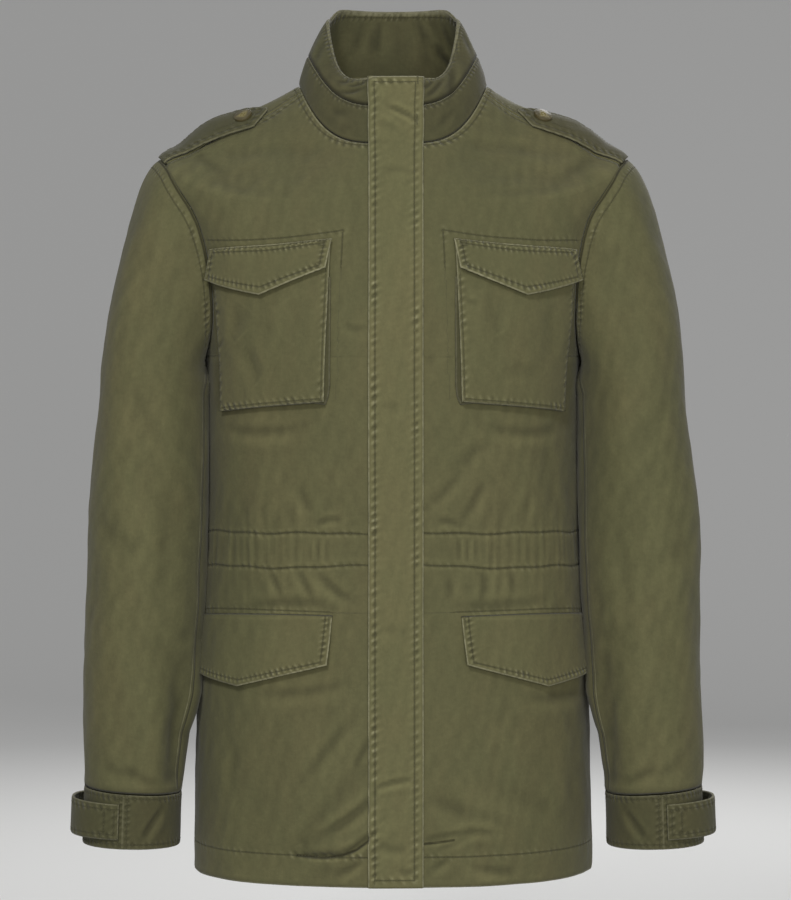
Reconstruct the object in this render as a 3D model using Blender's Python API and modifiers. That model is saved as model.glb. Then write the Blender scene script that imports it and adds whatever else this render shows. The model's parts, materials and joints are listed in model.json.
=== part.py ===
"""Safari jacket, size medium, worn shape with no wearer: cotton twill pieces as thin closed walls.

Metres, +Z up, the wearer faces -Y and the wearer's left is +X. The origin is inside the neck,
level with the highest point of the shoulders, where the wearer's shoulders carry the jacket.
The body is one skin through level rings from hem to neck. Each cloth piece is a patch of that
skin, of the collar's rings or of the sleeve's rings, and what is sewn on top is made from the
same points, moved out.
"""
import math
from collections import namedtuple

import bpy
import numpy as np

# ---------------------------------------------------------------- cloth and seams
CLOTH = 0.0015
DOUBLE_CLOTH = 0.0021
SEAM_GAP = 0.0004
LAY_GAP = 0.0007

# ---------------------------------------------------------------- body rings
# Height at the side, front and back, half width, depth before and behind the side seam, how
# square the ring is (2 is an ellipse) and how soon it falls away from the side. Rings 11 to 15
# climb along the shoulder.
Ring = namedtuple(
    "Ring", "side_z front_z back_z half_width front_depth back_depth fullness fall")
BODY_RINGS = (
    Ring(-0.7540, -0.7540, -0.7540, 0.1920, 0.1470, 0.1370, 2.30, 3.4),  # 0 hem
    Ring(-0.7240, -0.7240, -0.7240, 0.1920, 0.1470, 0.1365, 2.30, 3.4),  # 1 hem stitching
    Ring(-0.6600, -0.6600, -0.6600, 0.1910, 0.1460, 0.1350, 2.30, 3.4),
    Ring(-0.6000, -0.6000, -0.6000, 0.1890, 0.1440, 0.1320, 2.30, 3.4),
    Ring(-0.5370, -0.5370, -0.5370, 0.1865, 0.1420, 0.1280, 2.30, 3.4),
    Ring(-0.4620, -0.4620, -0.4620, 0.1820, 0.1375, 0.1210, 2.30, 3.4),  # 5 casing, lower edge
    Ring(-0.4300, -0.4300, -0.4300, 0.1810, 0.1370, 0.1200, 2.30, 3.4),  # 6 casing, upper edge
    Ring(-0.3530, -0.3530, -0.3530, 0.1800, 0.1400, 0.1230, 2.30, 3.4),
    Ring(-0.2720, -0.2750, -0.2720, 0.1800, 0.1425, 0.1290, 2.30, 3.4),  # 8 underarm
    Ring(-0.2000, -0.2180, -0.2050, 0.1920, 0.1400, 0.1310, 2.30, 3.4),
    Ring(-0.1300, -0.1680, -0.1420, 0.2070, 0.1330, 0.1240, 2.30, 3.4),
    Ring(-0.0766, -0.1280, -0.0880, 0.2280, 0.1240, 0.1120, 2.20, 4.6),  # 11 shoulder point
    Ring(-0.0572, -0.1120, -0.0600, 0.2018, 0.1200, 0.1050, 2.15, 5.6),
    Ring(-0.0378, -0.0970, -0.0350, 0.1717, 0.1150, 0.0970, 2.10, 5.8),
    Ring(-0.0194, -0.0820, -0.0100, 0.1250, 0.1100, 0.0870, 2.15, 5.0),
    Ring(-0.0010, -0.0675, 0.0140, 0.0912, 0.1050, 0.0760, 2.25, 3.4),  # 15 neck seam
)
NECK_ROW = 15.0
SHOULDER_SEAM = math.radians(72.5)
SIDE_SEAM = math.radians(90)
SIDE_SEAM_GAP = 0.0015
SHOULDER_SEAM_GAP = 0.006
CREASE_FADE = 0.25
SLOPE_STEP = 0.004

# ---------------------------------------------------------------- armhole
# Where the sleeve is set in, as body row and degrees round from the centre front.
ArmholePoint = namedtuple("ArmholePoint", "row degrees")
ARMHOLE = (
    ArmholePoint(8.10, 90.0),
    ArmholePoint(8.13, 81.0),
    ArmholePoint(8.27, 73.0),
    ArmholePoint(8.55, 66.5),
    ArmholePoint(8.95, 62.5),
    ArmholePoint(9.40, 60.0),
    ArmholePoint(9.90, 59.5),
    ArmholePoint(10.40, 59.5),
    ArmholePoint(10.80, 62.0),
    ArmholePoint(11.05, 66.5),
    ArmholePoint(11.15, 72.5),
    ArmholePoint(11.15, 83.0),
    ArmholePoint(11.03, 96.0),
    ArmholePoint(10.86, 105.5),
    ArmholePoint(10.55, 114.0),
    ArmholePoint(10.05, 119.0),
    ArmholePoint(9.45, 120.5),
    ArmholePoint(8.95, 117.5),
    ArmholePoint(8.55, 112.0),
    ArmholePoint(8.27, 105.0),
    ArmholePoint(8.13, 97.5),
)
ARMHOLE_TOP = 10
UNDERARM_ROW = 8.10

# ---------------------------------------------------------------- collar rings
# The stand's top seam and the collar's upper edge: as a body ring, with the place of its
# greatest width from front to back.
CollarRing = namedtuple(
    "CollarRing", "side_z front_z back_z half_width front_y widest_y back_y fullness fall")
COLLAR_RINGS = (
    CollarRing(0.0280, -0.0315, 0.0480, 0.0825, -0.0985, 0.000, 0.0720, 2.25, 3.1),
    CollarRing(0.0650, -0.0035, 0.0830, 0.0650, -0.0930, 0.015, 0.0670, 2.15, 5.0),
)
COLLAR_FRONT_GAP = 0.0016
COLLAR_COLUMNS = 32

# ---------------------------------------------------------------- sleeve rings
# Height, middle and half sizes across and from front to back, and how much the outer side is
# higher than the middle.
SleeveRing = namedtuple("SleeveRing", "z middle_x half_x middle_y half_y lift")
SLEEVE_RINGS = (
    SleeveRing(-0.3000, 0.2310, 0.0490, -0.033, 0.0690, 0.0000),
    SleeveRing(-0.3980, 0.2365, 0.0530, -0.042, 0.0680, 0.0000),
    SleeveRing(-0.4930, 0.2390, 0.0530, -0.048, 0.0660, 0.0006),
    SleeveRing(-0.5800, 0.2410, 0.0515, -0.054, 0.0620, 0.0016),
    SleeveRing(-0.6270, 0.2440, 0.0490, -0.057, 0.0590, 0.0026),
    SleeveRing(-0.6720, 0.2465, 0.0458, -0.059, 0.0555, 0.0036),
    SleeveRing(-0.7235, 0.2480, 0.0460, -0.061, 0.0545, 0.0016),
)
SLEEVE_SEAM_ROW = 5.0
CUFF_TOP_ROW = 5.02
CUFF_END_ROW = 6.0
SLEEVE_AROUND = 20
CAP_ROWS = 6
SLEEVE_FULLNESS = 2.15
SLEEVE_GIRTH = 0.37
CREASE_FREE_ROWS = 0.35
# Room between the armhole's edge and the sleeve, out of the cloth and to the side.
CAP_CLEAR = 0.0006
CAP_SHIFT = np.array([0.0013, 0, 0])
# How the cap leaves the armhole: sideways, forwards and down, at the underarm and at the top.
CapLeave = namedtuple("CapLeave", "under_x top_x front_y under_z top_z hump")
CAP_LEAVE = CapLeave(0.004, 0.090, -0.020, -0.030, -0.055, 1.45)
CapArrive = namedtuple("CapArrive", "x y under_z top_z")
CAP_ARRIVE = CapArrive(0.010, -0.010, -0.060, -0.190)

# ---------------------------------------------------------------- waist gathers
Gathers = namedtuple("Gathers", "first_arc waves depth")
FRONT_GATHERS = Gathers(0.068, 15, 0.0013)
BACK_GATHERS = Gathers(0.0, 36, 0.0013)
GATHER_ROWS = (4.55, 5.0, 5.5, 6.0, 6.45)
GATHER_STRENGTH = (0.0, 0.9, 1.0, 0.9, 0.0)

# ---------------------------------------------------------------- creases
# Soft troughs (negative) and ridges in the body: distance round from the centre front or the
# centre back, height, half length, half width, depth and lean from upright.
Crease = namedtuple("Crease", "arc z half_length half_width depth lean")
FRONT_CREASES = (
    Crease(-0.062, -0.686, 0.060, 0.012, -0.0030, 40),
    Crease(-0.040, -0.716, 0.055, 0.011, 0.0022, 62),
    Crease(-0.105, -0.725, 0.045, 0.012, -0.0020, 80),
    Crease(-0.190, -0.118, 0.035, 0.012, -0.0022, -55),
    Crease(-0.110, -0.092, 0.060, 0.013, -0.0018, 84),
    Crease(0.110, -0.092, 0.060, 0.013, -0.0018, -84),
    Crease(0.185, -0.116, 0.035, 0.012, -0.0022, 55),
    Crease(0.070, -0.700, 0.045, 0.012, -0.0020, -35),
    Crease(0.190, -0.655, 0.060, 0.016, -0.0018, 8),
    Crease(-0.150, -0.390, 0.050, 0.016, -0.0018, 12),
    Crease(0.160, -0.380, 0.050, 0.016, -0.0018, -10),
)
BACK_CREASES = (
    Crease(-0.085, -0.620, 0.110, 0.020, -0.0035, -6),
    Crease(0.070, -0.590, 0.090, 0.020, -0.0030, 9),
    Crease(0.150, -0.655, 0.075, 0.018, -0.0026, -8),
    Crease(-0.175, -0.300, 0.085, 0.018, -0.0035, -24),
    Crease(0.178, -0.310, 0.080, 0.018, -0.0032, 24),
    Crease(0.030, -0.345, 0.070, 0.020, -0.0026, 5),
    Crease(-0.060, -0.085, 0.075, 0.016, -0.0022, 78),
)
# The same in a sleeve: turns round from the underarm by way of the front, height along it.
SleeveCrease = namedtuple("SleeveCrease", "turn z half_length half_width depth lean")
SLEEVE_CREASES = (
    SleeveCrease(0.16, -0.600, 0.075, 0.011, -0.0034, 8),
    SleeveCrease(0.05, -0.560, 0.055, 0.012, -0.0026, -10),
    SleeveCrease(0.30, -0.648, 0.030, 0.009, -0.0026, 58),
    SleeveCrease(0.20, -0.400, 0.060, 0.014, -0.0024, 28),
    SleeveCrease(0.36, -0.470, 0.070, 0.015, -0.0018, -14),
    SleeveCrease(0.62, -0.430, 0.065, 0.014, -0.0026, 40),
    SleeveCrease(0.74, -0.470, 0.060, 0.014, -0.0030, -35),
    SleeveCrease(0.82, -0.330, 0.060, 0.015, -0.0028, 30),
    SleeveCrease(0.70, -0.620, 0.050, 0.012, -0.0022, 15),
)

# ---------------------------------------------------------------- rows and columns of panels
LOWER_ROWS = (0.0, 0.45, 1.0, 1.6, 2.25, 2.9, 3.5, 4.1)
CHEST_ROWS = (6.9, 7.45, UNDERARM_ROW)
ARMHOLE_ROWS = (8.13, 8.27, 8.55, 8.95, 9.40, 9.90, 10.40, 10.72, 10.95, 11.08, 11.15)
SHOULDER_ROWS = (11.6, 12.3, 13.0, 13.7, 14.35, NECK_ROW)
FRONT_COLUMNS = 9
BACK_COLUMNS = 18
FRONT_EDGE = 0.0012

# ---------------------------------------------------------------- storm flap and zip
FLAP_EDGES = (-0.0225, 0.0282)
FLAP_TOP = 16.97
FLAP_GAP = 0.0010
ZIP_EDGES = (-0.0120, 0.0120)
ZIP_START = 0.35
ZIP_TOP = 16.80
ZIP_WALL = 0.0012
ZIP_GAP = 0.0014

# ---------------------------------------------------------------- pockets and flaps
# Corners as body row and distance round from the centre front.
Spot = namedtuple("Spot", "row arc")
PocketFace = namedtuple("PocketFace", "top_inner top_outer low_inner low_outer waist_outer")
CHEST_POCKET = PocketFace(
    Spot(10.06, 0.0575), Spot(9.60, 0.1815), Spot(7.55, 0.0620), Spot(7.45, 0.1790), 0.1840)
POCKET_RISE_INNER = 0.0090
POCKET_RISE_OUTER = 0.0064
POCKET_TOP_RISE = 0.0030
GUSSET_WALL = 0.0010
GUSSET_FOOT = 0.0050
GUSSET_START_INNER = 0.24
GUSSET_START_OUTER = 0.36
GUSSET_TUCK = 0.0012
GUSSET_FULL_HEIGHT = 0.006
ROW_HEIGHT = 0.070
FlapCut = namedtuple("FlapCut", "top_inner top_outer low_inner peak low_outer bow")
CHEST_FLAP = FlapCut(
    Spot(10.20, 0.0560), Spot(9.72, 0.1830), Spot(9.60, 0.0605), Spot(9.10, 0.1224),
    Spot(9.24, 0.1880), 0.05)
LOWER_FLAPS = {
    1: FlapCut(Spot(4.40, 0.0632), Spot(4.36, 0.2310), Spot(3.80, 0.0678), Spot(3.45, 0.1480),
               Spot(3.65, 0.2430), 0.03),
    -1: FlapCut(Spot(4.41, 0.0556), Spot(4.35, 0.2290), Spot(3.80, 0.0600), Spot(3.45, 0.1490),
                Spot(3.65, 0.2410), 0.03),
}
FLAP_COLUMNS = 10
FLAP_STEPS = 4
CHEST_FLAP_LIFT = 0.0012
LOWER_FLAP_LIFT = 0.0016

# ---------------------------------------------------------------- epaulette, tab and button
EPAULETTE_ROWS = (11.20, 14.05)
EPAULETTE_HALF_WIDTH = 0.0225
EPAULETTE_SHIFT = (-0.018, -0.031)
EPAULETTE_POINT = 0.86
EPAULETTE_TAPER = (1, 0.94, 0.10)
EPAULETTE_LIFT = 0.0010
BUTTON_ROW = 13.55
BUTTON_RADIUS = 0.0090
BUTTON_THICKNESS = 0.0030
BUTTON_CLEAR = 0.0009
# The button's profile from its middle over the rim to its back, in radii and thicknesses.
ProfilePoint = namedtuple("ProfilePoint", "radius height")
BUTTON_PROFILE = (
    ProfilePoint(0.0, 0.70),
    ProfilePoint(0.46, 0.62),
    ProfilePoint(0.62, 0.62),
    ProfilePoint(0.75, 0.97),
    ProfilePoint(0.89, 1.0),
    ProfilePoint(1.0, 0.72),
    ProfilePoint(1.0, 0.30),
    ProfilePoint(0.87, 0.0),
    ProfilePoint(0.0, 0.0),
)
TAB_FRONT_TURN = 0.27
TAB_BACK_TURN = 0.70
TAB_ROWS = (5.25, 5.86)
TAB_BULGE = 0.0088

OLIVE = (0.108, 0.102, 0.050)
OLIVE_EDGE = (0.135, 0.128, 0.066)
BUTTON_HORN = (0.095, 0.080, 0.030)
TAPE = (0.060, 0.056, 0.030)


# ================================================================ the skins
def between(table, row):
    """Values between the rows of a table, along a smooth curve through all of them."""
    values = np.array(table, dtype=float)
    place = np.clip(np.asarray(row, dtype=float), 0, len(values) - 1)
    first = np.minimum(place.astype(int), len(values) - 2)
    part = (place - first)[..., None]
    before, start, end, after = (
        values[np.clip(first + shift, 0, len(values) - 1)] for shift in (-1, 0, 1, 2))
    bend = 2 * before - 5 * start + 4 * end - after
    twist = after - before + 3 * (start - end)
    return start + 0.5 * part * (end - before + part * (bend + part * twist))


def body_skin(row, angle):
    """Point on the outside of the body at a row and an angle round from the centre front."""
    side_z, front_z, back_z, half_width, front_depth, back_depth, fullness, fall = (
        np.moveaxis(between(BODY_RINGS, row), -1, 0))
    across, along = np.sin(angle), np.cos(angle)
    ahead = along > 0
    x = half_width * np.sign(across) * np.abs(across) ** (2 / fullness)
    y = np.where(ahead, -front_depth, back_depth) * np.abs(along) ** (2 / fullness)
    z = side_z + (np.where(ahead, front_z, back_z) - side_z) * (1 - np.abs(across) ** fall)
    return np.stack([x, y, z], axis=-1)


def collar_ring(ring, angle):
    """Point on one of the collar's rings."""
    across, along = np.sin(angle), np.cos(angle)
    ahead = along > 0
    reach = np.where(ahead, ring.front_y, ring.back_y) - ring.widest_y
    x = ring.half_width * np.sign(across) * np.abs(across) ** (2 / ring.fullness)
    y = ring.widest_y + reach * np.abs(along) ** (2 / ring.fullness)
    rise = np.where(ahead, ring.front_z, ring.back_z) - ring.side_z
    z = ring.side_z + rise * (1 - np.abs(across) ** ring.fall)
    return np.stack([x, y, z], axis=-1)


def collar_skin(tier, angle):
    """Point on the collar: tier 0 is the neck seam, 1 the middle seam and 2 the upper edge."""
    tier = np.asarray(tier, dtype=float)[..., None]
    neck = body_skin(np.full(np.shape(angle), NECK_ROW), angle)
    middle, top = (collar_ring(ring, angle) for ring in COLLAR_RINGS)
    return (neck * (tier - 1) * (tier - 2) / 2 - middle * tier * (tier - 2)
            + top * tier * (tier - 1) / 2)


def jacket_skin(row, angle):
    """The body's skin up to the neck seam and the collar's above it, as one run of rows."""
    row, angle = np.broadcast_arrays(np.asarray(row, float), np.asarray(angle, float))
    on_collar = (row > NECK_ROW)[..., None]
    return np.where(on_collar, collar_skin(np.maximum(row - NECK_ROW, 0), angle),
                    body_skin(np.minimum(row, NECK_ROW), angle))


def outward(skin, row, angle):
    """Unit vector out of the cloth, from its slopes up and around."""
    up = skin(row + SLOPE_STEP, angle) - skin(row - SLOPE_STEP, angle)
    around = skin(row, angle + SLOPE_STEP) - skin(row, angle - SLOPE_STEP)
    normal = np.cross(around, up)
    return normal / np.linalg.norm(normal, axis=-1, keepdims=True)


# ---------------------------------------------------------------- distances round the body
ARC_ROWS = np.linspace(0, NECK_ROW, 151)
ARC_ANGLES = np.linspace(0, math.pi, 181)
_RINGS = body_skin(ARC_ROWS[:, None], ARC_ANGLES[None, :])
_STEPS = np.linalg.norm(np.diff(_RINGS, axis=1), axis=2)
ARC_TABLE = np.concatenate([np.zeros((len(ARC_ROWS), 1)), np.cumsum(_STEPS, axis=1)], axis=1)


def arcs_of_row(row):
    """Distance from the centre front at each of ARC_ANGLES, on one row."""
    place = np.clip(row, 0, NECK_ROW) / NECK_ROW * (len(ARC_ROWS) - 1)
    low = min(int(place), len(ARC_ROWS) - 2)
    return ARC_TABLE[low] + (ARC_TABLE[low + 1] - ARC_TABLE[low]) * (place - low)


def angle_at(row, arc):
    """Angle of the point that lies a distance round from the centre front, signed."""
    rows, arcs = np.broadcast_arrays(np.asarray(row, float), np.asarray(arc, float))
    angles = [np.interp(abs(a), arcs_of_row(r), ARC_ANGLES) * np.sign(a)
              for r, a in zip(rows.ravel(), arcs.ravel())]
    return np.array(angles).reshape(rows.shape)


def arc_at(row, angle):
    """Distance round from the centre front, signed as the angle is."""
    rows, angles = np.broadcast_arrays(np.asarray(row, float), np.asarray(angle, float))
    arcs = [np.interp(abs(a), ARC_ANGLES, arcs_of_row(r)) * np.sign(a)
            for r, a in zip(rows.ravel(), angles.ravel())]
    return np.array(arcs).reshape(rows.shape)


def crease_height(creases, arc, z):
    """Summed height of the creases at places given by distance round and height."""
    height = np.zeros(np.shape(arc))
    for crease in creases:
        lean = math.radians(crease.lean)
        across = (arc - crease.arc) * math.cos(lean) - (z - crease.z) * math.sin(lean)
        along = (arc - crease.arc) * math.sin(lean) + (z - crease.z) * math.cos(lean)
        fall = np.exp(-(across / crease.half_width) ** 2 - (along / crease.half_length) ** 4)
        height = height + crease.depth * fall
    return height


def body_creases(row, angle, z):
    """Creases of the front or the back at a place, whichever it is on."""
    arc = arc_at(row, angle)
    half_round = arc_at(row, np.full(np.shape(angle), math.pi))
    from_back = np.sign(angle) * (half_round - np.abs(arc))
    front = crease_height(FRONT_CREASES, arc, z)
    back = crease_height(BACK_CREASES, from_back, z)
    side = np.clip((np.abs(angle) - SIDE_SEAM) / CREASE_FADE, -1, 1)
    return np.where(side < 0, front * np.minimum(-side, 1), back * side)


def body_point(row, angle, out=0.0):
    """Point a distance out from the body cloth, creases followed."""
    row, angle, out = np.broadcast_arrays(
        np.asarray(row, float), np.asarray(angle, float), np.asarray(out, float))
    skin = body_skin(row, angle)
    lift = out + body_creases(row, angle, skin[..., 2])
    return skin + outward(body_skin, row, angle) * lift[..., None]


def jacket_point(row, angle, out=0.0):
    """The same on the body and the collar together."""
    row, angle, out = np.broadcast_arrays(
        np.asarray(row, float), np.asarray(angle, float), np.asarray(out, float))
    skin = jacket_skin(row, angle)
    crease = body_creases(np.minimum(row, NECK_ROW), angle, skin[..., 2])
    lift = out + np.where(row > NECK_ROW, 0, crease)
    return skin + outward(jacket_skin, row, angle) * lift[..., None]


def armhole_row_angle(place):
    """Row and angle on the armhole, at a place along its table (it closes on itself)."""
    count = len(ARMHOLE)
    table = (ARMHOLE[-1],) + ARMHOLE + ARMHOLE[:2]
    row, degrees = np.moveaxis(between(table, np.mod(place, count) + 1), -1, 0)
    return row, np.radians(degrees)


def armhole_edge(rows, behind):
    """Angle of the armhole at each row, on the front or behind the shoulder seam."""
    if behind:
        places = np.linspace(ARMHOLE_TOP, len(ARMHOLE), 200)
    else:
        places = np.linspace(ARMHOLE_TOP, 0, 200)
    edge_rows, edge_angles = armhole_row_angle(places)
    order = np.argsort(edge_rows)
    return np.interp(rows, edge_rows[order], edge_angles[order])


# ---------------------------------------------------------------- the sleeve's skin
def sleeve_ring_point(row, turn):
    """Point on a sleeve ring: turn 0 faces the body, 0.25 the front and 0.5 is outside."""
    z, middle_x, half_x, middle_y, half_y, lift = np.moveaxis(
        between(SLEEVE_RINGS, row), -1, 0)
    inward, forward = np.cos(turn * math.tau), np.sin(turn * math.tau)
    power = 2 / SLEEVE_FULLNESS
    x = middle_x - half_x * np.sign(inward) * np.abs(inward) ** power
    y = middle_y - half_y * np.sign(forward) * np.abs(forward) ** power
    return np.stack([x, y, z - lift * inward], axis=-1)


def sleeve_cap_point(part, turn):
    """Point between the armhole (part 0) and the first sleeve ring (part 1)."""
    count = len(ARMHOLE)
    row, angle = armhole_row_angle(turn * count)
    start = body_skin(row, angle) + outward(body_skin, row, angle) * CAP_CLEAR + CAP_SHIFT
    end = sleeve_ring_point(np.zeros(np.shape(turn)), turn)
    top = 0.5 - 0.5 * np.cos(turn * math.tau)
    forward = np.sin(turn * math.tau)
    away, close = CAP_LEAVE, CAP_ARRIVE
    leave = np.stack([away.under_x + away.top_x * top ** 1.3, away.front_y * forward,
                      away.under_z + away.top_z * top * (2 - away.hump * top)], axis=-1)
    arrive = np.stack([close.x + 0 * top, close.y + 0 * top,
                       close.under_z + close.top_z * top], axis=-1)
    t = np.asarray(part, float)[..., None]
    return ((2 * t ** 3 - 3 * t ** 2 + 1) * start + (t ** 3 - 2 * t ** 2 + t) * leave
            + (3 * t ** 2 - 2 * t ** 3) * end + (t ** 3 - t ** 2) * arrive)


def sleeve_skin(row, turn):
    """The whole sleeve: rows -1 to 0 are the cap, 0 and above follow SLEEVE_RINGS."""
    row, turn = np.broadcast_arrays(np.asarray(row, float), np.asarray(turn, float))
    on_cap = (row < 0)[..., None]
    return np.where(on_cap, sleeve_cap_point(np.clip(row + 1, 0, 1), turn),
                    sleeve_ring_point(np.maximum(row, 0), turn))


def sleeve_point(row, turn, out=0.0, side=1):
    """Point a distance out from the sleeve cloth, creases followed."""
    row, turn, out = np.broadcast_arrays(
        np.asarray(row, float), np.asarray(turn, float), np.asarray(out, float))
    skin = sleeve_skin(row, turn)
    crease = np.zeros(np.shape(turn))
    for fold in SLEEVE_CREASES:
        from_fold = (np.mod(turn + 0.5 - fold.turn, 1) - 0.5) * SLEEVE_GIRTH
        crease = crease + crease_height((Crease(0, *fold[1:]),), from_fold, skin[..., 2])
    fade = (np.clip((SLEEVE_SEAM_ROW - row) / CREASE_FREE_ROWS, 0, 1)
            * np.clip((row + 1) / CREASE_FREE_ROWS, 0, 1))
    point = skin - outward(sleeve_skin, row, turn) * (out + crease * fade)[..., None]
    return point * np.array([side, 1, 1])


# ================================================================ making pieces
def new_collection(name):
    collection = bpy.data.collections.new(name)
    bpy.context.scene.collection.children.link(collection)
    return collection


def cloth_material(name, colour, roughness=0.88, metallic=0.0):
    material = bpy.data.materials.new(name)
    material.use_nodes = True
    shader = material.node_tree.nodes["Principled BSDF"]
    shader.inputs["Base Color"].default_value = (*colour, 1)
    shader.inputs["Roughness"].default_value = roughness
    shader.inputs["Metallic"].default_value = metallic
    return material


def strip_faces(first, second, start_a, start_b, closed):
    """Faces between two rows of points that may have different counts."""
    count_a, count_b = len(first), len(second)
    spans_a = count_a if closed else count_a - 1
    spans_b = count_b if closed else count_b - 1
    if spans_a == spans_b:
        return [(start_a + i, start_a + (i + 1) % count_a,
                 start_b + (i + 1) % count_b, start_b + i) for i in range(spans_a)]
    faces = []
    i = j = 0
    while i < spans_a or j < spans_b:
        if j >= spans_b or (i < spans_a and (i + 1) / spans_a <= (j + 1) / spans_b):
            faces.append((start_a + i, start_a + (i + 1) % count_a, start_b + j % count_b))
            i += 1
        else:
            faces.append((start_a + i % count_a, start_b + (j + 1) % count_b, start_b + j))
            j += 1
    return faces


def sheet_object(name, rows, material, collection, wall, closed=False, flip=False):
    """A cloth piece: a sheet through rows of points, thickened inward into a closed wall."""
    points = np.concatenate([np.asarray(row).reshape(-1, 3) for row in rows])
    starts = np.cumsum([0] + [len(row) for row in rows])
    faces = []
    for index in range(len(rows) - 1):
        faces += strip_faces(
            rows[index], rows[index + 1], starts[index], starts[index + 1], closed)
    if flip:
        faces = [face[::-1] for face in faces]
    mesh = bpy.data.meshes.new(name)
    mesh.from_pydata(points.tolist(), [], [tuple(int(i) for i in face) for face in faces])
    mesh.update()
    piece = bpy.data.objects.new(name, mesh)
    collection.objects.link(piece)
    mesh.materials.append(material)
    thickness = piece.modifiers.new("cloth thickness", "SOLIDIFY")
    thickness.thickness = wall
    thickness.offset = -1
    mesh.shade_smooth()
    return piece


# ---------------------------------------------------------------- body panels
def front_outer_edge(row):
    """Angle where a front ends: the side seam, the armhole or the shoulder seam."""
    if row <= UNDERARM_ROW:
        return SIDE_SEAM - SIDE_SEAM_GAP
    if row < ARMHOLE[ARMHOLE_TOP].row:
        return min(float(armhole_edge(row, behind=False)), SIDE_SEAM - SIDE_SEAM_GAP)
    return SHOULDER_SEAM


def back_outer_edge(row):
    """Angle where the back ends on one side."""
    if row <= UNDERARM_ROW:
        return SIDE_SEAM + SIDE_SEAM_GAP
    if row < ARMHOLE[ARMHOLE_TOP].row:
        return max(float(armhole_edge(row, behind=True)), SHOULDER_SEAM + SHOULDER_SEAM_GAP)
    return SHOULDER_SEAM + SHOULDER_SEAM_GAP


def front_panel_rows(side):
    """Points of one front, row by row, from the centre edge to the side."""
    rows = []
    for row in LOWER_ROWS + GATHER_ROWS + CHEST_ROWS + ARMHOLE_ROWS + SHOULDER_ROWS:
        first = float(arc_at(row, edge_angle(row, FRONT_EDGE)))
        last = float(arc_at(row, front_outer_edge(row)))
        if row in GATHER_ROWS:
            strength = GATHER_STRENGTH[GATHER_ROWS.index(row)]
            waves = FRONT_GATHERS.waves
            plain = [first, first + (FRONT_GATHERS.first_arc - first) / 2]
            pleated = np.linspace(FRONT_GATHERS.first_arc, last, 2 * waves + 1)
            arcs = np.concatenate([plain, pleated])
            turn = np.array([0, 0] + [1 - 2 * (i % 2) for i in range(2 * waves + 1)])
            out = FRONT_GATHERS.depth * strength * turn
            out[[2, -1]] = 0
        else:
            arcs = np.linspace(first, last, FRONT_COLUMNS + 1)
            out = np.zeros(len(arcs))
        angles = angle_at(np.full(len(arcs), row), arcs)
        angles[-1] = front_outer_edge(row)
        rows.append(body_point(row, angles * side, out))
    return rows


def back_panel_rows():
    """Points of the back, row by row, from the wearer's left round to the right."""
    rows = []
    for row in LOWER_ROWS + GATHER_ROWS + CHEST_ROWS + ARMHOLE_ROWS + SHOULDER_ROWS:
        edge = back_outer_edge(row)
        half_round = float(arc_at(row, math.pi))
        reach = half_round - float(arc_at(row, edge))
        if row in GATHER_ROWS:
            strength = GATHER_STRENGTH[GATHER_ROWS.index(row)]
            count = 2 * BACK_GATHERS.waves
            turn = np.array([1 - 2 * (i % 2) for i in range(count + 1)])
            out = BACK_GATHERS.depth * strength * turn
            out[[0, -1]] = 0
        else:
            count = BACK_COLUMNS
            out = np.zeros(count + 1)
        from_back = np.linspace(reach, -reach, count + 1)
        arcs = half_round - np.abs(from_back)
        angles = angle_at(np.full(count + 1, row), arcs) * np.where(from_back < 0, -1, 1)
        angles[0], angles[-1] = edge, -edge
        rows.append(body_point(row, angles, out))
    return rows


def edge_angle(row, x):
    """Angle at which the skin is a distance x to the side of the centre front."""
    row = np.asarray(row, float)
    body = between(BODY_RINGS, np.minimum(row, NECK_ROW))
    tier = np.clip(row - NECK_ROW, 0, 2)
    widths = (float(BODY_RINGS[-1].half_width),) + tuple(r.half_width for r in COLLAR_RINGS)
    full = (float(BODY_RINGS[-1].fullness),) + tuple(r.fullness for r in COLLAR_RINGS)
    width = np.where(row > NECK_ROW, np.interp(tier, (0, 1, 2), widths), body[..., 3])
    fullness = np.where(row > NECK_ROW, np.interp(tier, (0, 1, 2), full), body[..., 6])
    return np.sign(x) * np.arcsin(np.clip(np.abs(x) / width, 0, 1) ** (fullness / 2))


def make_body(parts, cloth):
    for side, name in ((1, "front_left"), (-1, "front_right")):
        sheet_object(name, front_panel_rows(side), cloth, parts, CLOTH, flip=side < 0)
    sheet_object("back", back_panel_rows(), cloth, parts, CLOTH)


# ---------------------------------------------------------------- collar
def make_collar(parts, cloth):
    """Stand and upper collar, each from one front edge round the neck to the other."""
    tiers = (("collar_stand", 0.020, 0.990, 3), ("collar_upper", 1.004, 2.0, 3))
    for name, low, high, steps in tiers:
        rows = []
        for tier in np.linspace(low, high, steps + 1):
            start = edge_angle(NECK_ROW + tier, COLLAR_FRONT_GAP)
            angles = np.linspace(start, math.tau - start, COLLAR_COLUMNS + 1)
            rows.append(jacket_point(NECK_ROW + tier, angles))
        sheet_object(name, rows, cloth, parts, CLOTH)


# ---------------------------------------------------------------- storm flap and zip
def run_of_rows(start, end):
    """The panels' rows between two ends, so that what lies on them bends where they bend."""
    collar_rows = (15.34, 15.67, 16.0, 16.33, 16.67)
    inner = [row for row in LOWER_ROWS + GATHER_ROWS + CHEST_ROWS + ARMHOLE_ROWS
             + SHOULDER_ROWS + collar_rows if start + 0.12 < row < end - 0.12]
    kept = [row for i, row in enumerate(inner) if i == 0 or row - inner[i - 1] > 0.2]
    return [start] + kept + [end]


def centre_strip(name, start, end, edges, columns, out, wall, material, parts):
    rows = []
    for row in run_of_rows(start, end):
        across = np.linspace(*edges, columns + 1)
        rows.append(jacket_point(row, edge_angle(np.full(columns + 1, row), across), out))
    return sheet_object(name, rows, material, parts, wall)


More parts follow.
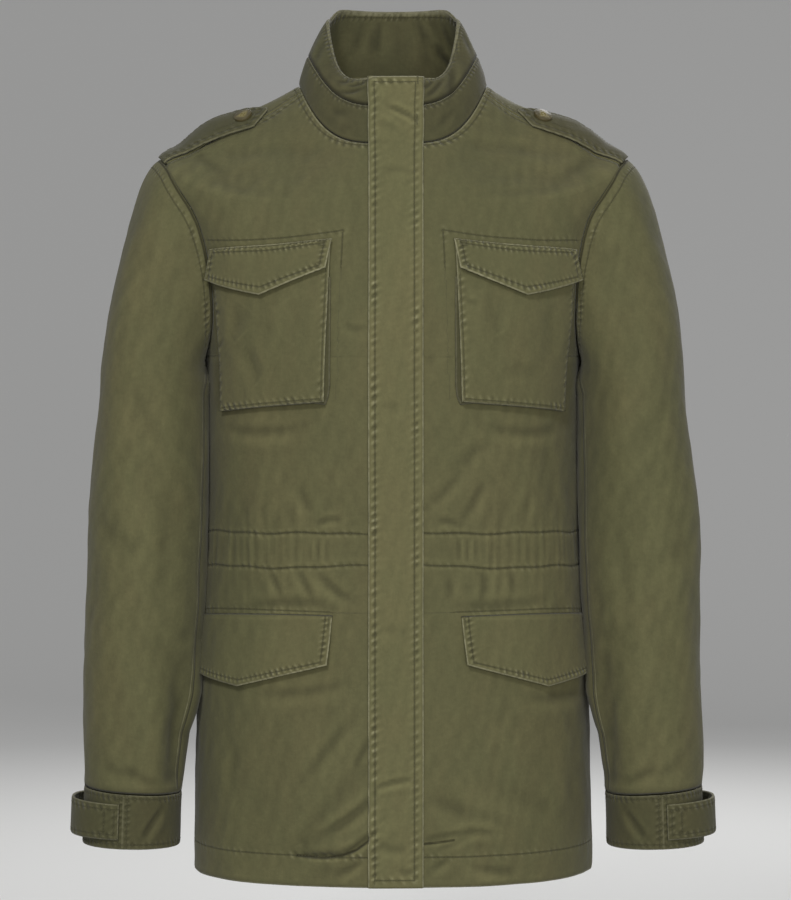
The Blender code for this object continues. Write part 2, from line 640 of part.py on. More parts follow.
def make_front_closure(parts, flap_cloth, tape):
    out = DOUBLE_CLOTH + FLAP_GAP
    centre_strip("storm_flap", 0.0, FLAP_TOP, FLAP_EDGES, 4, out, DOUBLE_CLOTH,
                 flap_cloth, parts)
    centre_strip("front_zip", ZIP_START, ZIP_TOP, ZIP_EDGES, 1, -CLOTH - ZIP_GAP,
                 ZIP_WALL, tape, parts)


# ---------------------------------------------------------------- pockets and flaps
def mix(a, b, part):
    return a + (b - a) * part


def pocket_rise(across, down):
    """Height of the pocket's outer face over the panel, across 0 (centre) to 1, down 0 to 1."""
    low = mix(POCKET_RISE_INNER, POCKET_RISE_OUTER, across)
    return POCKET_TOP_RISE + (low - POCKET_TOP_RISE) * np.clip(down, 0, 1) ** 0.75


def pocket_spot(across, down):
    """Row and distance round of a place on the pocket's face."""
    cut = CHEST_POCKET
    row = mix(mix(cut.top_inner.row, cut.top_outer.row, across),
              mix(cut.low_inner.row, cut.low_outer.row, across), down)
    inner = mix(cut.top_inner.arc, cut.low_inner.arc, down)
    outer = mix(cut.top_outer.arc, cut.low_outer.arc, down)
    belly = (cut.waist_outer - (cut.top_outer.arc + cut.low_outer.arc) / 2) * 4
    outer = outer + belly * down * (1 - down)
    return row, mix(inner, outer, across)


def pocket_point(across, down, side, rise, aside=0.0):
    """A place over the pocket, moved aside from its edge where it is on one."""
    row, arc = pocket_spot(np.clip(across, 0, 1), np.clip(down, 0, 1))
    beside = np.where(across > 1 - 1e-6, aside, np.where(across < 1e-6, -aside, 0))
    below = np.where(down > 1 - 1e-6, aside, 0)
    row = row - below / ROW_HEIGHT
    return body_point(row, angle_at(row, arc + beside) * side, rise)


def make_chest_pocket(side, word, parts, cloth):
    """The raised face and the folded gusset that joins its three lower edges to the front."""
    downs = np.linspace(0, 1, 8)
    acrosses = np.linspace(0, 1, 8)
    rows = [pocket_point(acrosses, np.full(8, down), side, pocket_rise(acrosses, down))
            for down in downs[::-1]]
    sheet_object("chest_pocket_" + word, rows, cloth, parts, CLOTH, flip=side < 0)

    path = [(0.0, down) for down in np.linspace(GUSSET_START_INNER, 0.97, 8)]
    path += [(0.0, 1.0)]
    path += [(across, 1.0) for across in np.linspace(0.04, 0.96, 7)]
    path += [(1.0, 1.0)]
    path += [(1.0, down) for down in np.linspace(0.97, GUSSET_START_OUTER, 7)]
    across, down = np.array(path).T
    top = pocket_rise(across, down) - CLOTH - SEAM_GAP
    foot = np.full(len(path), GUSSET_WALL + LAY_GAP)
    spread = GUSSET_FOOT * np.clip((top - foot) / GUSSET_FULL_HEIGHT, 0.25, 1)
    levels = ((foot, spread), (mix(foot, top, 0.55), 0.75 * spread),
              (np.maximum(top, foot + SEAM_GAP / 2), -GUSSET_TUCK + 0 * spread))
    rows = [pocket_point(across, down, side, height, aside) for height, aside in levels]
    sheet_object("chest_pocket_gusset_" + word, rows[::-1], cloth, parts, GUSSET_WALL,
                 flip=side > 0)


def flap_rows(cut, side, lift):
    """Points of a pointed pocket flap from its lower edge up; lift gives the height."""
    peak_part = (cut.peak.arc - cut.low_inner.arc) / (cut.low_outer.arc - cut.low_inner.arc)
    acrosses = np.sort(np.append(np.linspace(0, 1, FLAP_COLUMNS), peak_part))
    top_row = mix(cut.top_inner.row, cut.top_outer.row, acrosses)
    top_row = top_row + cut.bow * 4 * acrosses * (1 - acrosses)
    low_row = np.interp(acrosses, (0, peak_part, 1),
                        (cut.low_inner.row, cut.peak.row, cut.low_outer.row))
    top_arc = mix(cut.top_inner.arc, cut.top_outer.arc, acrosses)
    low_arc = mix(cut.low_inner.arc, cut.low_outer.arc, acrosses)
    rows = []
    for down in np.linspace(1, 0, FLAP_STEPS + 1):
        row = mix(top_row, low_row, down)
        arc = mix(top_arc, low_arc, down)
        rows.append(body_point(row, angle_at(row, arc) * side, lift(row, arc, down)))
    return rows


def chest_flap_lift(row, arc, down):
    """The chest flap lies on the pocket's face and is sewn flat along its top."""
    cut = CHEST_POCKET
    across = np.clip((arc - cut.top_inner.arc) / (cut.top_outer.arc - cut.top_inner.arc), 0, 1)
    top_row = mix(cut.top_inner.row, cut.top_outer.row, across)
    low_row = mix(cut.low_inner.row, cut.low_outer.row, across)
    over_face = pocket_rise(across, (top_row - row) / (top_row - low_row))
    return over_face + DOUBLE_CLOTH + LAY_GAP + CHEST_FLAP_LIFT * down


def lower_flap_lift(row, arc, down):
    return DOUBLE_CLOTH + LAY_GAP + LOWER_FLAP_LIFT * down + 0 * arc


def make_flaps(side, word, parts, cloth):
    sheet_object("chest_flap_" + word, flap_rows(CHEST_FLAP, side, chest_flap_lift),
                 cloth, parts, DOUBLE_CLOTH, flip=side < 0)
    sheet_object("lower_flap_" + word, flap_rows(LOWER_FLAPS[side], side, lower_flap_lift),
                 cloth, parts, DOUBLE_CLOTH, flip=side < 0)


# ---------------------------------------------------------------- sleeves, cuffs and tabs
def make_sleeve(side, word, parts, cloth):
    """Sleeve from the armhole to the cuff seam, then the cuff as a band of its own."""
    turns = np.arange(SLEEVE_AROUND) / SLEEVE_AROUND
    sleeve_rows = list(np.linspace(-1, 0, CAP_ROWS + 1))
    sleeve_rows += [0.4, 0.8, 1.2, 1.6, 2.0, 2.4, 2.8, 3.2, 3.6, 4.0, 4.5, SLEEVE_SEAM_ROW]
    rows = [sleeve_point(row, turns, 0.0, side) for row in sleeve_rows]
    sheet_object("sleeve_" + word, rows, cloth, parts, CLOTH, closed=True, flip=side > 0)
    rows = [sleeve_point(row, turns, 0.0, side)
            for row in np.linspace(CUFF_TOP_ROW, CUFF_END_ROW, 4)]
    sheet_object("cuff_" + word, rows, cloth, parts, DOUBLE_CLOTH, closed=True,
                 flip=side > 0)


def make_cuff_tab(side, word, parts, cloth):
    """The tab starts on the front of the cuff and bows out round the outer side."""
    turns = np.linspace(TAB_FRONT_TURN, TAB_BACK_TURN, 15)
    part = (turns - TAB_FRONT_TURN) / (TAB_BACK_TURN - TAB_FRONT_TURN)
    bow = TAB_BULGE * np.sin(np.pi * part) ** 1.2
    rows = [sleeve_point(row, turns, DOUBLE_CLOTH + LAY_GAP + bow, side)
            for row in np.linspace(TAB_ROWS[0], TAB_ROWS[1], 3)]
    sheet_object("cuff_tab_" + word, rows, cloth, parts, DOUBLE_CLOTH, flip=side > 0)


# ---------------------------------------------------------------- epaulettes
def shoulder_point(row, from_ridge, side, out):
    """Point near the shoulder ridge, a distance behind it (or before it where negative)."""
    ridge = arc_at(row, np.full(np.shape(row), SIDE_SEAM))
    return body_point(row, angle_at(row, ridge + from_ridge) * side, out)


def epaulette_centre(part):
    return mix(EPAULETTE_SHIFT[0], EPAULETTE_SHIFT[1], part)


def epaulette_lift(part):
    return DOUBLE_CLOTH + LAY_GAP + EPAULETTE_LIFT * np.sin(np.pi * np.clip(part, 0, 1))


def make_epaulette(side, word, parts, cloth, horn):
    """Strap from the armhole seam up the shoulder to its point, and the button on it."""
    rows = []
    for part in (0, 0.15, 0.3, 0.45, 0.6, 0.73, EPAULETTE_POINT, 0.93, 1.0):
        taper = np.interp(part, (0, EPAULETTE_POINT, 1), EPAULETTE_TAPER)
        across = np.linspace(-1, 1, 5) * EPAULETTE_HALF_WIDTH * taper
        row = np.full(5, mix(EPAULETTE_ROWS[0], EPAULETTE_ROWS[1], part))
        rows.append(shoulder_point(row, epaulette_centre(part) + across, side,
                                   epaulette_lift(part)))
    sheet_object("epaulette_" + word, rows, cloth, parts, DOUBLE_CLOTH, flip=side < 0)
    make_button(side, word, parts, horn)


def make_button(side, word, parts, horn):
    """A dished round button, turned from its profile and set on the strap."""
    part = (BUTTON_ROW - EPAULETTE_ROWS[0]) / (EPAULETTE_ROWS[1] - EPAULETTE_ROWS[0])
    row = np.array([BUTTON_ROW])
    shift = epaulette_centre(part)
    lift = epaulette_lift(part) + BUTTON_CLEAR
    spot = shoulder_point(row, np.array([shift]), side, lift)[0]
    above = shoulder_point(row, np.array([shift]), side, lift + BUTTON_RADIUS)[0]
    axis = (above - spot) / np.linalg.norm(above - spot)
    mesh = bpy.data.meshes.new("button_profile_" + word)
    mesh.from_pydata([(point.radius * BUTTON_RADIUS, 0, point.height * BUTTON_THICKNESS)
                      for point in BUTTON_PROFILE],
                     [(i, i + 1) for i in range(len(BUTTON_PROFILE) - 1)], [])
    button = bpy.data.objects.new("epaulette_button_" + word, mesh)
    parts.objects.link(button)
    mesh.materials.append(horn)
    turned = button.modifiers.new("turned profile", "SCREW")
    turned.steps = 16
    turned.render_steps = 16
    turned.use_merge_vertices = True
    turned.merge_threshold = 0.00005
    turned.use_smooth_shade = True
    button.rotation_mode = "QUATERNION"
    tilt = math.acos(float(np.clip(axis[2], -1, 1)))
    lean = np.array([-axis[1], axis[0], 0])
    lean = lean / np.linalg.norm(lean) * math.sin(tilt / 2)
    button.rotation_quaternion = (math.cos(tilt / 2), *lean)
    button.location = spot


def main():
    for old in list(bpy.data.objects):
        bpy.data.objects.remove(old, do_unlink=True)
    parts = new_collection("safari_jacket")
    twill = cloth_material("olive_twill", OLIVE)
    doubled = cloth_material("olive_twill_doubled", OLIVE_EDGE)
    horn = cloth_material("button_horn", BUTTON_HORN, 0.42)
    tape = cloth_material("zip_tape", TAPE, 0.7)
    make_body(parts, twill)
    make_collar(parts, twill)
    make_front_closure(parts, doubled, tape)
    for side, word in ((1, "left"), (-1, "right")):
        make_sleeve(side, word, parts, twill)
        make_cuff_tab(side, word, parts, doubled)
        make_chest_pocket(side, word, parts, twill)
        make_flaps(side, word, parts, doubled)
        make_epaulette(side, word, parts, doubled, horn)


main()
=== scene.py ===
# %% [markdown]
# # A safari jacket in washed olive twill
# The imported frame holds the jacket's pieces as plain walls at their real size. This lesson gives
# every piece its finish: the folds that cloth keeps after washing, the puckers beside each row
# of stitching, the pale worn edges and the twill itself. The frame is loaded first. Nothing that
# follows may change the jacket's size.

# %% Load the frame
import json
import math
from collections import namedtuple

import bpy
import numpy as np
from mathutils import Matrix, Vector, bvhtree, kdtree

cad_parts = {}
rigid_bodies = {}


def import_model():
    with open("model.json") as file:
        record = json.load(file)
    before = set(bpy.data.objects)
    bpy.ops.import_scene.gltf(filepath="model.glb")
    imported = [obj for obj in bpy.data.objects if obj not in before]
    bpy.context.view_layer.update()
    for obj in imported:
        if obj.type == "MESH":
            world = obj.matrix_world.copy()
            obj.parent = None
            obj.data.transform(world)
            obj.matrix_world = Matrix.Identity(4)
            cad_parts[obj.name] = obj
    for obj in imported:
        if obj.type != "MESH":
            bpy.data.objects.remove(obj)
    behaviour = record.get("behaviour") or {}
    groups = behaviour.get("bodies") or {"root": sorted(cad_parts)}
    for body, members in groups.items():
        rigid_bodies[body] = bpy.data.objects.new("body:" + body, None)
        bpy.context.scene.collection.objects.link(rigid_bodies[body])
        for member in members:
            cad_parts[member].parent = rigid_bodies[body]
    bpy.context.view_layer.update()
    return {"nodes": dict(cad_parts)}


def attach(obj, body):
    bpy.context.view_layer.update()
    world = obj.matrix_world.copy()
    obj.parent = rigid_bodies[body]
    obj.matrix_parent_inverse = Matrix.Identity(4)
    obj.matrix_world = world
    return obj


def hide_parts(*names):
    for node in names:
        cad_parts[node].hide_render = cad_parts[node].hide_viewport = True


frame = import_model()
BODY = "root"
print("solids in the frame:", len(frame["nodes"]))

# %% [markdown]
# ## Camera
# The photograph looks straight at the jacket from a few metres away, so both sides of it show
# alike and the collar's inside is seen just above its front edge. The lens is worked out from
# the height of jacket that fits in the picture, which keeps the two sizes tied together.

# %% Camera
CAMERA_DISTANCE = 2.6
HEIGHT_IN_VIEW = 0.873
CAMERA_SIDE = 0.0024
CAMERA_HEIGHT = -0.353
SENSOR = 36.0

bpy.ops.object.camera_add(
    location=(CAMERA_SIDE, -CAMERA_DISTANCE, CAMERA_HEIGHT), rotation=(math.pi / 2, 0, 0))
camera = bpy.context.object
camera.data.sensor_fit = "VERTICAL"
camera.data.sensor_height = SENSOR
camera.data.lens = SENSOR * CAMERA_DISTANCE / HEIGHT_IN_VIEW
bpy.context.scene.camera = camera
print("lens in millimetres:", round(camera.data.lens, 1))

# %% [markdown]
# ## Studio
# A pale floor that curves up into a wall all round is what a studio calls a cove. A plane and a
# wall would show a corner from some sides, so a ring is extruded up and outwards in steps that
# follow a quarter circle. The cove is left out of shadow and bounce rays, so that the even light
# of the world reaches the jacket through it.

# %% Studio
FLOOR_HEIGHT = -1.02
FLOOR_RADIUS = 3.6
COVE_RADIUS = 2.4
COVE_STEPS = 12
WALL_HEIGHT = 3.0
STUDIO_GREY = (0.80, 0.80, 0.79, 1)


def deselect_all():
    bpy.ops.object.select_all(action="DESELECT")


deselect_all()
bpy.ops.mesh.primitive_circle_add(
    vertices=96, radius=FLOOR_RADIUS, fill_type="NGON", location=(0, 0, FLOOR_HEIGHT))
floor = bpy.context.object
floor.name = "studio_floor"
bpy.ops.object.mode_set(mode="EDIT")
reach, rise = FLOOR_RADIUS, 0.0
for step in range(1, COVE_STEPS + 1):
    quarter = math.pi / 2 * step / COVE_STEPS
    new_reach = FLOOR_RADIUS + COVE_RADIUS * math.sin(quarter)
    new_rise = COVE_RADIUS * (1 - math.cos(quarter))
    bpy.ops.mesh.extrude_region_move(
        TRANSFORM_OT_translate={"value": (0, 0, new_rise - rise)})
    bpy.ops.transform.resize(value=(new_reach / reach, new_reach / reach, 1))
    reach, rise = new_reach, new_rise
bpy.ops.mesh.extrude_region_move(TRANSFORM_OT_translate={"value": (0, 0, WALL_HEIGHT)})
bpy.ops.mesh.delete(type="ONLY_FACE")
bpy.ops.object.mode_set(mode="OBJECT")
bpy.ops.object.shade_smooth()
floor.visible_shadow = False
floor.visible_diffuse = False
studio_paint = bpy.data.materials.new("studio_paint")
studio_paint.use_nodes = True
studio_paint.node_tree.nodes["Principled BSDF"].inputs["Base Color"].default_value = STUDIO_GREY
studio_paint.node_tree.nodes["Principled BSDF"].inputs["Roughness"].default_value = 0.9
floor.data.materials.append(studio_paint)
print("cove faces:", len(floor.data.polygons))

# %% [markdown]
# The light is soft and comes from the front: a small panel high on the left, which models the
# folds, a wide one low on the right, and one behind for the back. A dim world, darker from
# below, fills what they leave, so the undersides of flaps and folds keep their shade.

# %% Lights
Lamp = namedtuple("Lamp", "name place size watts")
LAMPS = (
    Lamp("panel_left", (-0.9, -3.5, 1.9), 0.6, 62),
    Lamp("panel_right", (0.7, -3.4, -0.3), 1.5, 53),
    Lamp("panel_back", (0.4, 2.4, 1.2), 1.6, 40),
)
LIGHT_AIM = Vector((0, 0, -0.35))
LIGHT_FROM_BELOW, LIGHT_FROM_ABOVE = 0.215, 0.32

for lamp in LAMPS:
    bpy.ops.object.light_add(type="AREA", location=lamp.place)
    panel = bpy.context.object
    panel.name = lamp.name
    panel.data.size = lamp.size
    panel.data.energy = lamp.watts
    panel.rotation_euler = (LIGHT_AIM - Vector(lamp.place)).to_track_quat("-Z", "Y").to_euler()
world = bpy.data.worlds.new("studio_world")
bpy.context.scene.world = world
world.use_nodes = True
sky = world.node_tree.nodes.new("ShaderNodeTexCoord")
height = world.node_tree.nodes.new("ShaderNodeSeparateXYZ")
brightness = world.node_tree.nodes.new("ShaderNodeMapRange")
for key, value in (("From Min", -1), ("From Max", 1), ("To Min", LIGHT_FROM_BELOW),
                   ("To Max", LIGHT_FROM_ABOVE)):
    brightness.inputs[key].default_value = value
background = world.node_tree.nodes["Background"]
background.inputs["Color"].default_value = (1, 1, 1, 1)
world.node_tree.links.new(sky.outputs["Generated"], height.inputs[0])
world.node_tree.links.new(height.outputs["Z"], brightness.inputs["Value"])
world.node_tree.links.new(brightness.outputs["Result"], background.inputs["Strength"])
bpy.context.scene.view_settings.view_transform = "Standard"
print("lamps:", len(LAMPS))

# %% [markdown]
# ## The jacket's own sizes
# The solids were cut from one skin through level rings, and the fine cloth is cut from the same
# skin, so that it lies on them exactly. Rows count up from the hem: row 0 is the hem, 5 and 6
# are the edges of the waist casing, 8.1 is the underarm, 11 the shoulder point and 15 the neck
# seam. All lengths are metres.

# %% Body rings
CLOTH = 0.0015
DOUBLE_CLOTH = 0.0021
LAY_GAP = 0.0007
Ring = namedtuple(
    "Ring", "side_z front_z back_z half_width front_depth back_depth fullness fall")
BODY_RINGS = (
    Ring(-0.7540, -0.7540, -0.7540, 0.1920, 0.1470, 0.1370, 2.30, 3.4),
    Ring(-0.7240, -0.7240, -0.7240, 0.1920, 0.1470, 0.1365, 2.30, 3.4),
    Ring(-0.6600, -0.6600, -0.6600, 0.1910, 0.1460, 0.1350, 2.30, 3.4),
    Ring(-0.6000, -0.6000, -0.6000, 0.1890, 0.1440, 0.1320, 2.30, 3.4),
    Ring(-0.5370, -0.5370, -0.5370, 0.1865, 0.1420, 0.1280, 2.30, 3.4),
    Ring(-0.4620, -0.4620, -0.4620, 0.1820, 0.1375, 0.1210, 2.30, 3.4),
    Ring(-0.4300, -0.4300, -0.4300, 0.1810, 0.1370, 0.1200, 2.30, 3.4),
    Ring(-0.3530, -0.3530, -0.3530, 0.1800, 0.1400, 0.1230, 2.30, 3.4),
    Ring(-0.2720, -0.2750, -0.2720, 0.1800, 0.1425, 0.1290, 2.30, 3.4),
    Ring(-0.2000, -0.2180, -0.2050, 0.1920, 0.1400, 0.1310, 2.30, 3.4),
    Ring(-0.1300, -0.1680, -0.1420, 0.2070, 0.1330, 0.1240, 2.30, 3.4),
    Ring(-0.0766, -0.1280, -0.0880, 0.2280, 0.1240, 0.1120, 2.20, 4.6),
    Ring(-0.0572, -0.1120, -0.0600, 0.2018, 0.1200, 0.1050, 2.15, 5.6),
    Ring(-0.0378, -0.0970, -0.0350, 0.1717, 0.1150, 0.0970, 2.10, 5.8),
    Ring(-0.0194, -0.0820, -0.0100, 0.1250, 0.1100, 0.0870, 2.15, 5.0),
    Ring(-0.0010, -0.0675, 0.0140, 0.0912, 0.1050, 0.0760, 2.25, 3.4),
)
HEM_ROW = 0.95
CASING_ROWS = (5.0, 6.0)
UNDERARM_ROW = 8.10
NECK_ROW = 15.0


def between(table, row):
    """Values between the rows of a table, along a smooth curve through all of them."""
    values = np.array(table, dtype=float)
    place = np.clip(np.asarray(row, dtype=float), 0, len(values) - 1)
    first = np.minimum(place.astype(int), len(values) - 2)
    part = (place - first)[..., None]
    before, start, end, after = (
        values[np.clip(first + shift, 0, len(values) - 1)] for shift in (-1, 0, 1, 2))
    bend = 2 * before - 5 * start + 4 * end - after
    twist = after - before + 3 * (start - end)
    return start + 0.5 * part * (end - before + part * (bend + part * twist))


def body_skin(row, angle):
    """Point on the outside of the body at a row and an angle round from the centre front."""
    side_z, front_z, back_z, half_width, front_depth, back_depth, fullness, fall = (
        np.moveaxis(between(BODY_RINGS, row), -1, 0))
    across, along = np.sin(angle), np.cos(angle)
    ahead = along > 0
    x = half_width * np.sign(across) * np.abs(across) ** (2 / fullness)
    y = np.where(ahead, -front_depth, back_depth) * np.abs(along) ** (2 / fullness)
    z = side_z + (np.where(ahead, front_z, back_z) - side_z) * (1 - np.abs(across) ** fall)
    return np.stack([x, y, z], axis=-1)


print("hem girth:", round(2 * sum(np.linalg.norm(np.diff(
    body_skin(np.zeros(181), np.linspace(0, math.pi, 181)), axis=0), axis=1)), 3), "m")

# %% [markdown]
# A tailor measures along the cloth, so places on the body are given by row and by distance round
# from the centre front, positive to the wearer's left. Two tables turn that distance into an
# angle and back.

# %% Distances round the body
ARC_ROWS = np.linspace(0, NECK_ROW, 151)
ARC_ANGLES = np.linspace(0, math.pi, 361)
_rings = body_skin(ARC_ROWS[:, None], ARC_ANGLES[None, :])
_steps = np.linalg.norm(np.diff(_rings, axis=1), axis=2)
ARCS = np.concatenate([np.zeros((len(ARC_ROWS), 1)), np.cumsum(_steps, axis=1)], axis=1)
SHARES = np.linspace(0, 1, 361)
ANGLES = np.array([np.interp(SHARES, arcs / arcs[-1], ARC_ANGLES) for arcs in ARCS])


def arrays(*values):
    """The values as arrays of numbers that all have one shape."""
    return np.broadcast_arrays(*(np.asarray(value, float) for value in values))


def grid_value(table, row, column):
    """Value of a table of numbers at places between its rows and columns."""
    row = np.clip(row, 0, table.shape[0] - 1.001)
    column = np.clip(column, 0, table.shape[1] - 1.001)
    i, j = row.astype(int), column.astype(int)
    u, v = row - i, column - j
    low = table[i, j] * (1 - v) + table[i, j + 1] * v
    high = table[i + 1, j] * (1 - v) + table[i + 1, j + 1] * v
    return low * (1 - u) + high * u


def arc_row(row):
    return np.clip(np.asarray(row, float), 0, NECK_ROW) / NECK_ROW * (len(ARC_ROWS) - 1)


def arc_at(row, angle):
    """Distance round from the centre front, signed as the angle is."""
    row, angle = arrays(arc_row(row), angle)
    return grid_value(ARCS, row, np.abs(angle) / math.pi * 360) * np.sign(angle)


def angle_at(row, arc):
    """Angle of the point that lies a distance round from the centre front."""
    row, arc = arrays(arc_row(row), arc)
    half_round = grid_value(ARCS, row, np.full(row.shape, 360.0))
    return grid_value(ANGLES, row, np.abs(arc) / half_round * 360) * np.sign(arc)


print("half round at the underarm:", round(float(arc_at(UNDERARM_ROW, math.pi)), 3), "m")

# %% [markdown]
# ## Collar and sleeve skins
# The collar stands on the neck seam in two tiers, through the middle seam's ring and the upper
# edge's. The sleeve is a tube of flattened rings that hangs from a cap, and the cap is a smooth
# bridge between the armhole drawn on the body and the first ring.

# %% Collar and sleeve skins
CollarRing = namedtuple("CollarRing", (
    "side_z front_z back_z half_width front_y widest_y back_y fullness fall back_fall"))
COLLAR_RINGS = (
    CollarRing(0.0280, -0.0315, 0.0480, 0.0825, -0.0985, 0.000, 0.0720, 2.25, 3.1, 3.1),
    CollarRing(0.0675, -0.0035, 0.0830, 0.0630, -0.0930, 0.015, 0.0670, 2.15, 6.6, 12.0),
)
ARMHOLE = (
    (8.10, 90.0), (8.13, 81.0), (8.27, 73.0), (8.55, 66.5), (8.95, 62.5), (9.40, 60.0),
    (9.90, 59.5), (10.40, 59.5), (10.80, 62.0), (11.05, 66.5), (11.15, 72.5), (11.15, 83.0),
    (11.03, 96.0), (10.86, 105.5), (10.55, 114.0), (10.05, 119.0), (9.45, 120.5),
    (8.95, 117.5), (8.55, 112.0), (8.27, 105.0), (8.13, 97.5),
)
ARMHOLE_TOP = 10
SleeveRing = namedtuple("SleeveRing", "z middle_x half_x middle_y half_y lift")
SLEEVE_RINGS = (
    SleeveRing(-0.3000, 0.2310, 0.0490, -0.033, 0.0690, 0.0000),
    SleeveRing(-0.3980, 0.2365, 0.0530, -0.042, 0.0680, 0.0000),
    SleeveRing(-0.4930, 0.2390, 0.0530, -0.048, 0.0660, 0.0006),
    SleeveRing(-0.5800, 0.2410, 0.0515, -0.054, 0.0620, 0.0016),
    SleeveRing(-0.6270, 0.2440, 0.0490, -0.057, 0.0590, 0.0026),
    SleeveRing(-0.6720, 0.2465, 0.0458, -0.059, 0.0555, 0.0036),
    SleeveRing(-0.7235, 0.2480, 0.0460, -0.061, 0.0545, 0.0016),
)
SLEEVE_SEAM_ROW = 5.0
CUFF_TOP_ROW = 5.02
CUFF_END_ROW = 6.0
SLEEVE_FULLNESS = 2.15
CAP_CLEAR = 0.0011
CAP_SHIFT = np.array([-0.0006, 0, 0])
CapLeave = namedtuple("CapLeave", "under_x top_x front_y under_z top_z hump")
CAP_LEAVE = CapLeave(0.004, 0.090, -0.020, -0.030, -0.055, 1.45)
CapArrive = namedtuple("CapArrive", "x y under_z top_z")
CAP_ARRIVE = CapArrive(0.010, -0.010, -0.060, -0.190)
SLOPE_STEP = 0.004


def unit(vectors):
    return vectors / np.maximum(np.linalg.norm(vectors, axis=-1, keepdims=True), 1e-12)


def outward(skin, row, angle):
    """Unit vector out of the cloth, from its slopes up and around."""
    up = skin(row + SLOPE_STEP, angle) - skin(row - SLOPE_STEP, angle)
    around = skin(row, angle + SLOPE_STEP) - skin(row, angle - SLOPE_STEP)
    return unit(np.cross(around, up))


def collar_ring(ring, angle):
    """Point on one of the collar's rings."""
    across, along = np.sin(angle), np.cos(angle)
    ahead = along > 0
    reach = np.where(ahead, ring.front_y, ring.back_y) - ring.widest_y
    x = ring.half_width * np.sign(across) * np.abs(across) ** (2 / ring.fullness)
    y = ring.widest_y + reach * np.abs(along) ** (2 / ring.fullness)
    rise = np.where(ahead, ring.front_z, ring.back_z) - ring.side_z
    fall = np.where(ahead, ring.fall, ring.back_fall)
    z = ring.side_z + rise * (1 - np.abs(across) ** fall)
    return np.stack([x, y, z], axis=-1)


def collar_skin(tier, angle):
    """Point on the collar: tier 0 is the neck seam, 1 the middle seam and 2 the upper edge."""
    tier = np.asarray(tier, dtype=float)[..., None]
    neck = body_skin(np.full(np.shape(angle), NECK_ROW), angle)
    middle, top = (collar_ring(ring, angle) for ring in COLLAR_RINGS)
    return (neck * (tier - 1) * (tier - 2) / 2 - middle * tier * (tier - 2)
            + top * tier * (tier - 1) / 2)


def jacket_skin(row, angle):
    """The body's skin up to the neck seam and the collar's above it, as one run of rows."""
    row, angle = arrays(row, angle)
    on_collar = (row > NECK_ROW)[..., None]
    return np.where(on_collar, collar_skin(np.maximum(row - NECK_ROW, 0), angle),
                    body_skin(np.minimum(row, NECK_ROW), angle))


def armhole_row_angle(place):
    """Row and angle on the armhole, at a place along its table (it closes on itself)."""
    table = (ARMHOLE[-1],) + ARMHOLE + ARMHOLE[:2]
    row, degrees = np.moveaxis(between(table, np.mod(place, len(ARMHOLE)) + 1), -1, 0)
    return row, np.radians(degrees)


def sleeve_ring_point(row, turn):
    """Point on a sleeve ring: turn 0 faces the body, 0.25 the front and 0.5 is outside."""
    z, middle_x, half_x, middle_y, half_y, lift = np.moveaxis(
        between(SLEEVE_RINGS, row), -1, 0)
    inward, forward = np.cos(turn * math.tau), np.sin(turn * math.tau)
    power = 2 / SLEEVE_FULLNESS
    x = middle_x - half_x * np.sign(inward) * np.abs(inward) ** power
    y = middle_y - half_y * np.sign(forward) * np.abs(forward) ** power
    return np.stack([x, y, z - lift * inward], axis=-1)


def sleeve_cap_point(part, turn):
    """Point between the armhole (part 0) and the first sleeve ring (part 1)."""
    row, angle = armhole_row_angle(turn * len(ARMHOLE))
    start = body_skin(row, angle) + outward(body_skin, row, angle) * CAP_CLEAR + CAP_SHIFT
    end = sleeve_ring_point(np.zeros(np.shape(turn)), turn)
    top = 0.5 - 0.5 * np.cos(turn * math.tau)
    forward = np.sin(turn * math.tau)
    away, close = CAP_LEAVE, CAP_ARRIVE
    leave = np.stack([away.under_x + away.top_x * top ** 1.3, away.front_y * forward,
                      away.under_z + away.top_z * top * (2 - away.hump * top)], axis=-1)
    arrive = np.stack([close.x + 0 * top, close.y + 0 * top,
                       close.under_z + close.top_z * top], axis=-1)
    t = np.asarray(part, float)[..., None]
    return ((2 * t ** 3 - 3 * t ** 2 + 1) * start + (t ** 3 - 2 * t ** 2 + t) * leave
            + (3 * t ** 2 - 2 * t ** 3) * end + (t ** 3 - t ** 2) * arrive)


def sleeve_skin(row, turn):
    """The whole sleeve: rows -1 to 0 are the cap, 0 and above follow SLEEVE_RINGS."""
    row, turn = arrays(row, turn)
    on_cap = (row < 0)[..., None]
    return np.where(on_cap, sleeve_cap_point(np.clip(row + 1, 0, 1), turn),
                    sleeve_ring_point(np.maximum(row, 0), turn))


print("collar height at the back:", COLLAR_RINGS[1].back_z - BODY_RINGS[-1].back_z, "m")
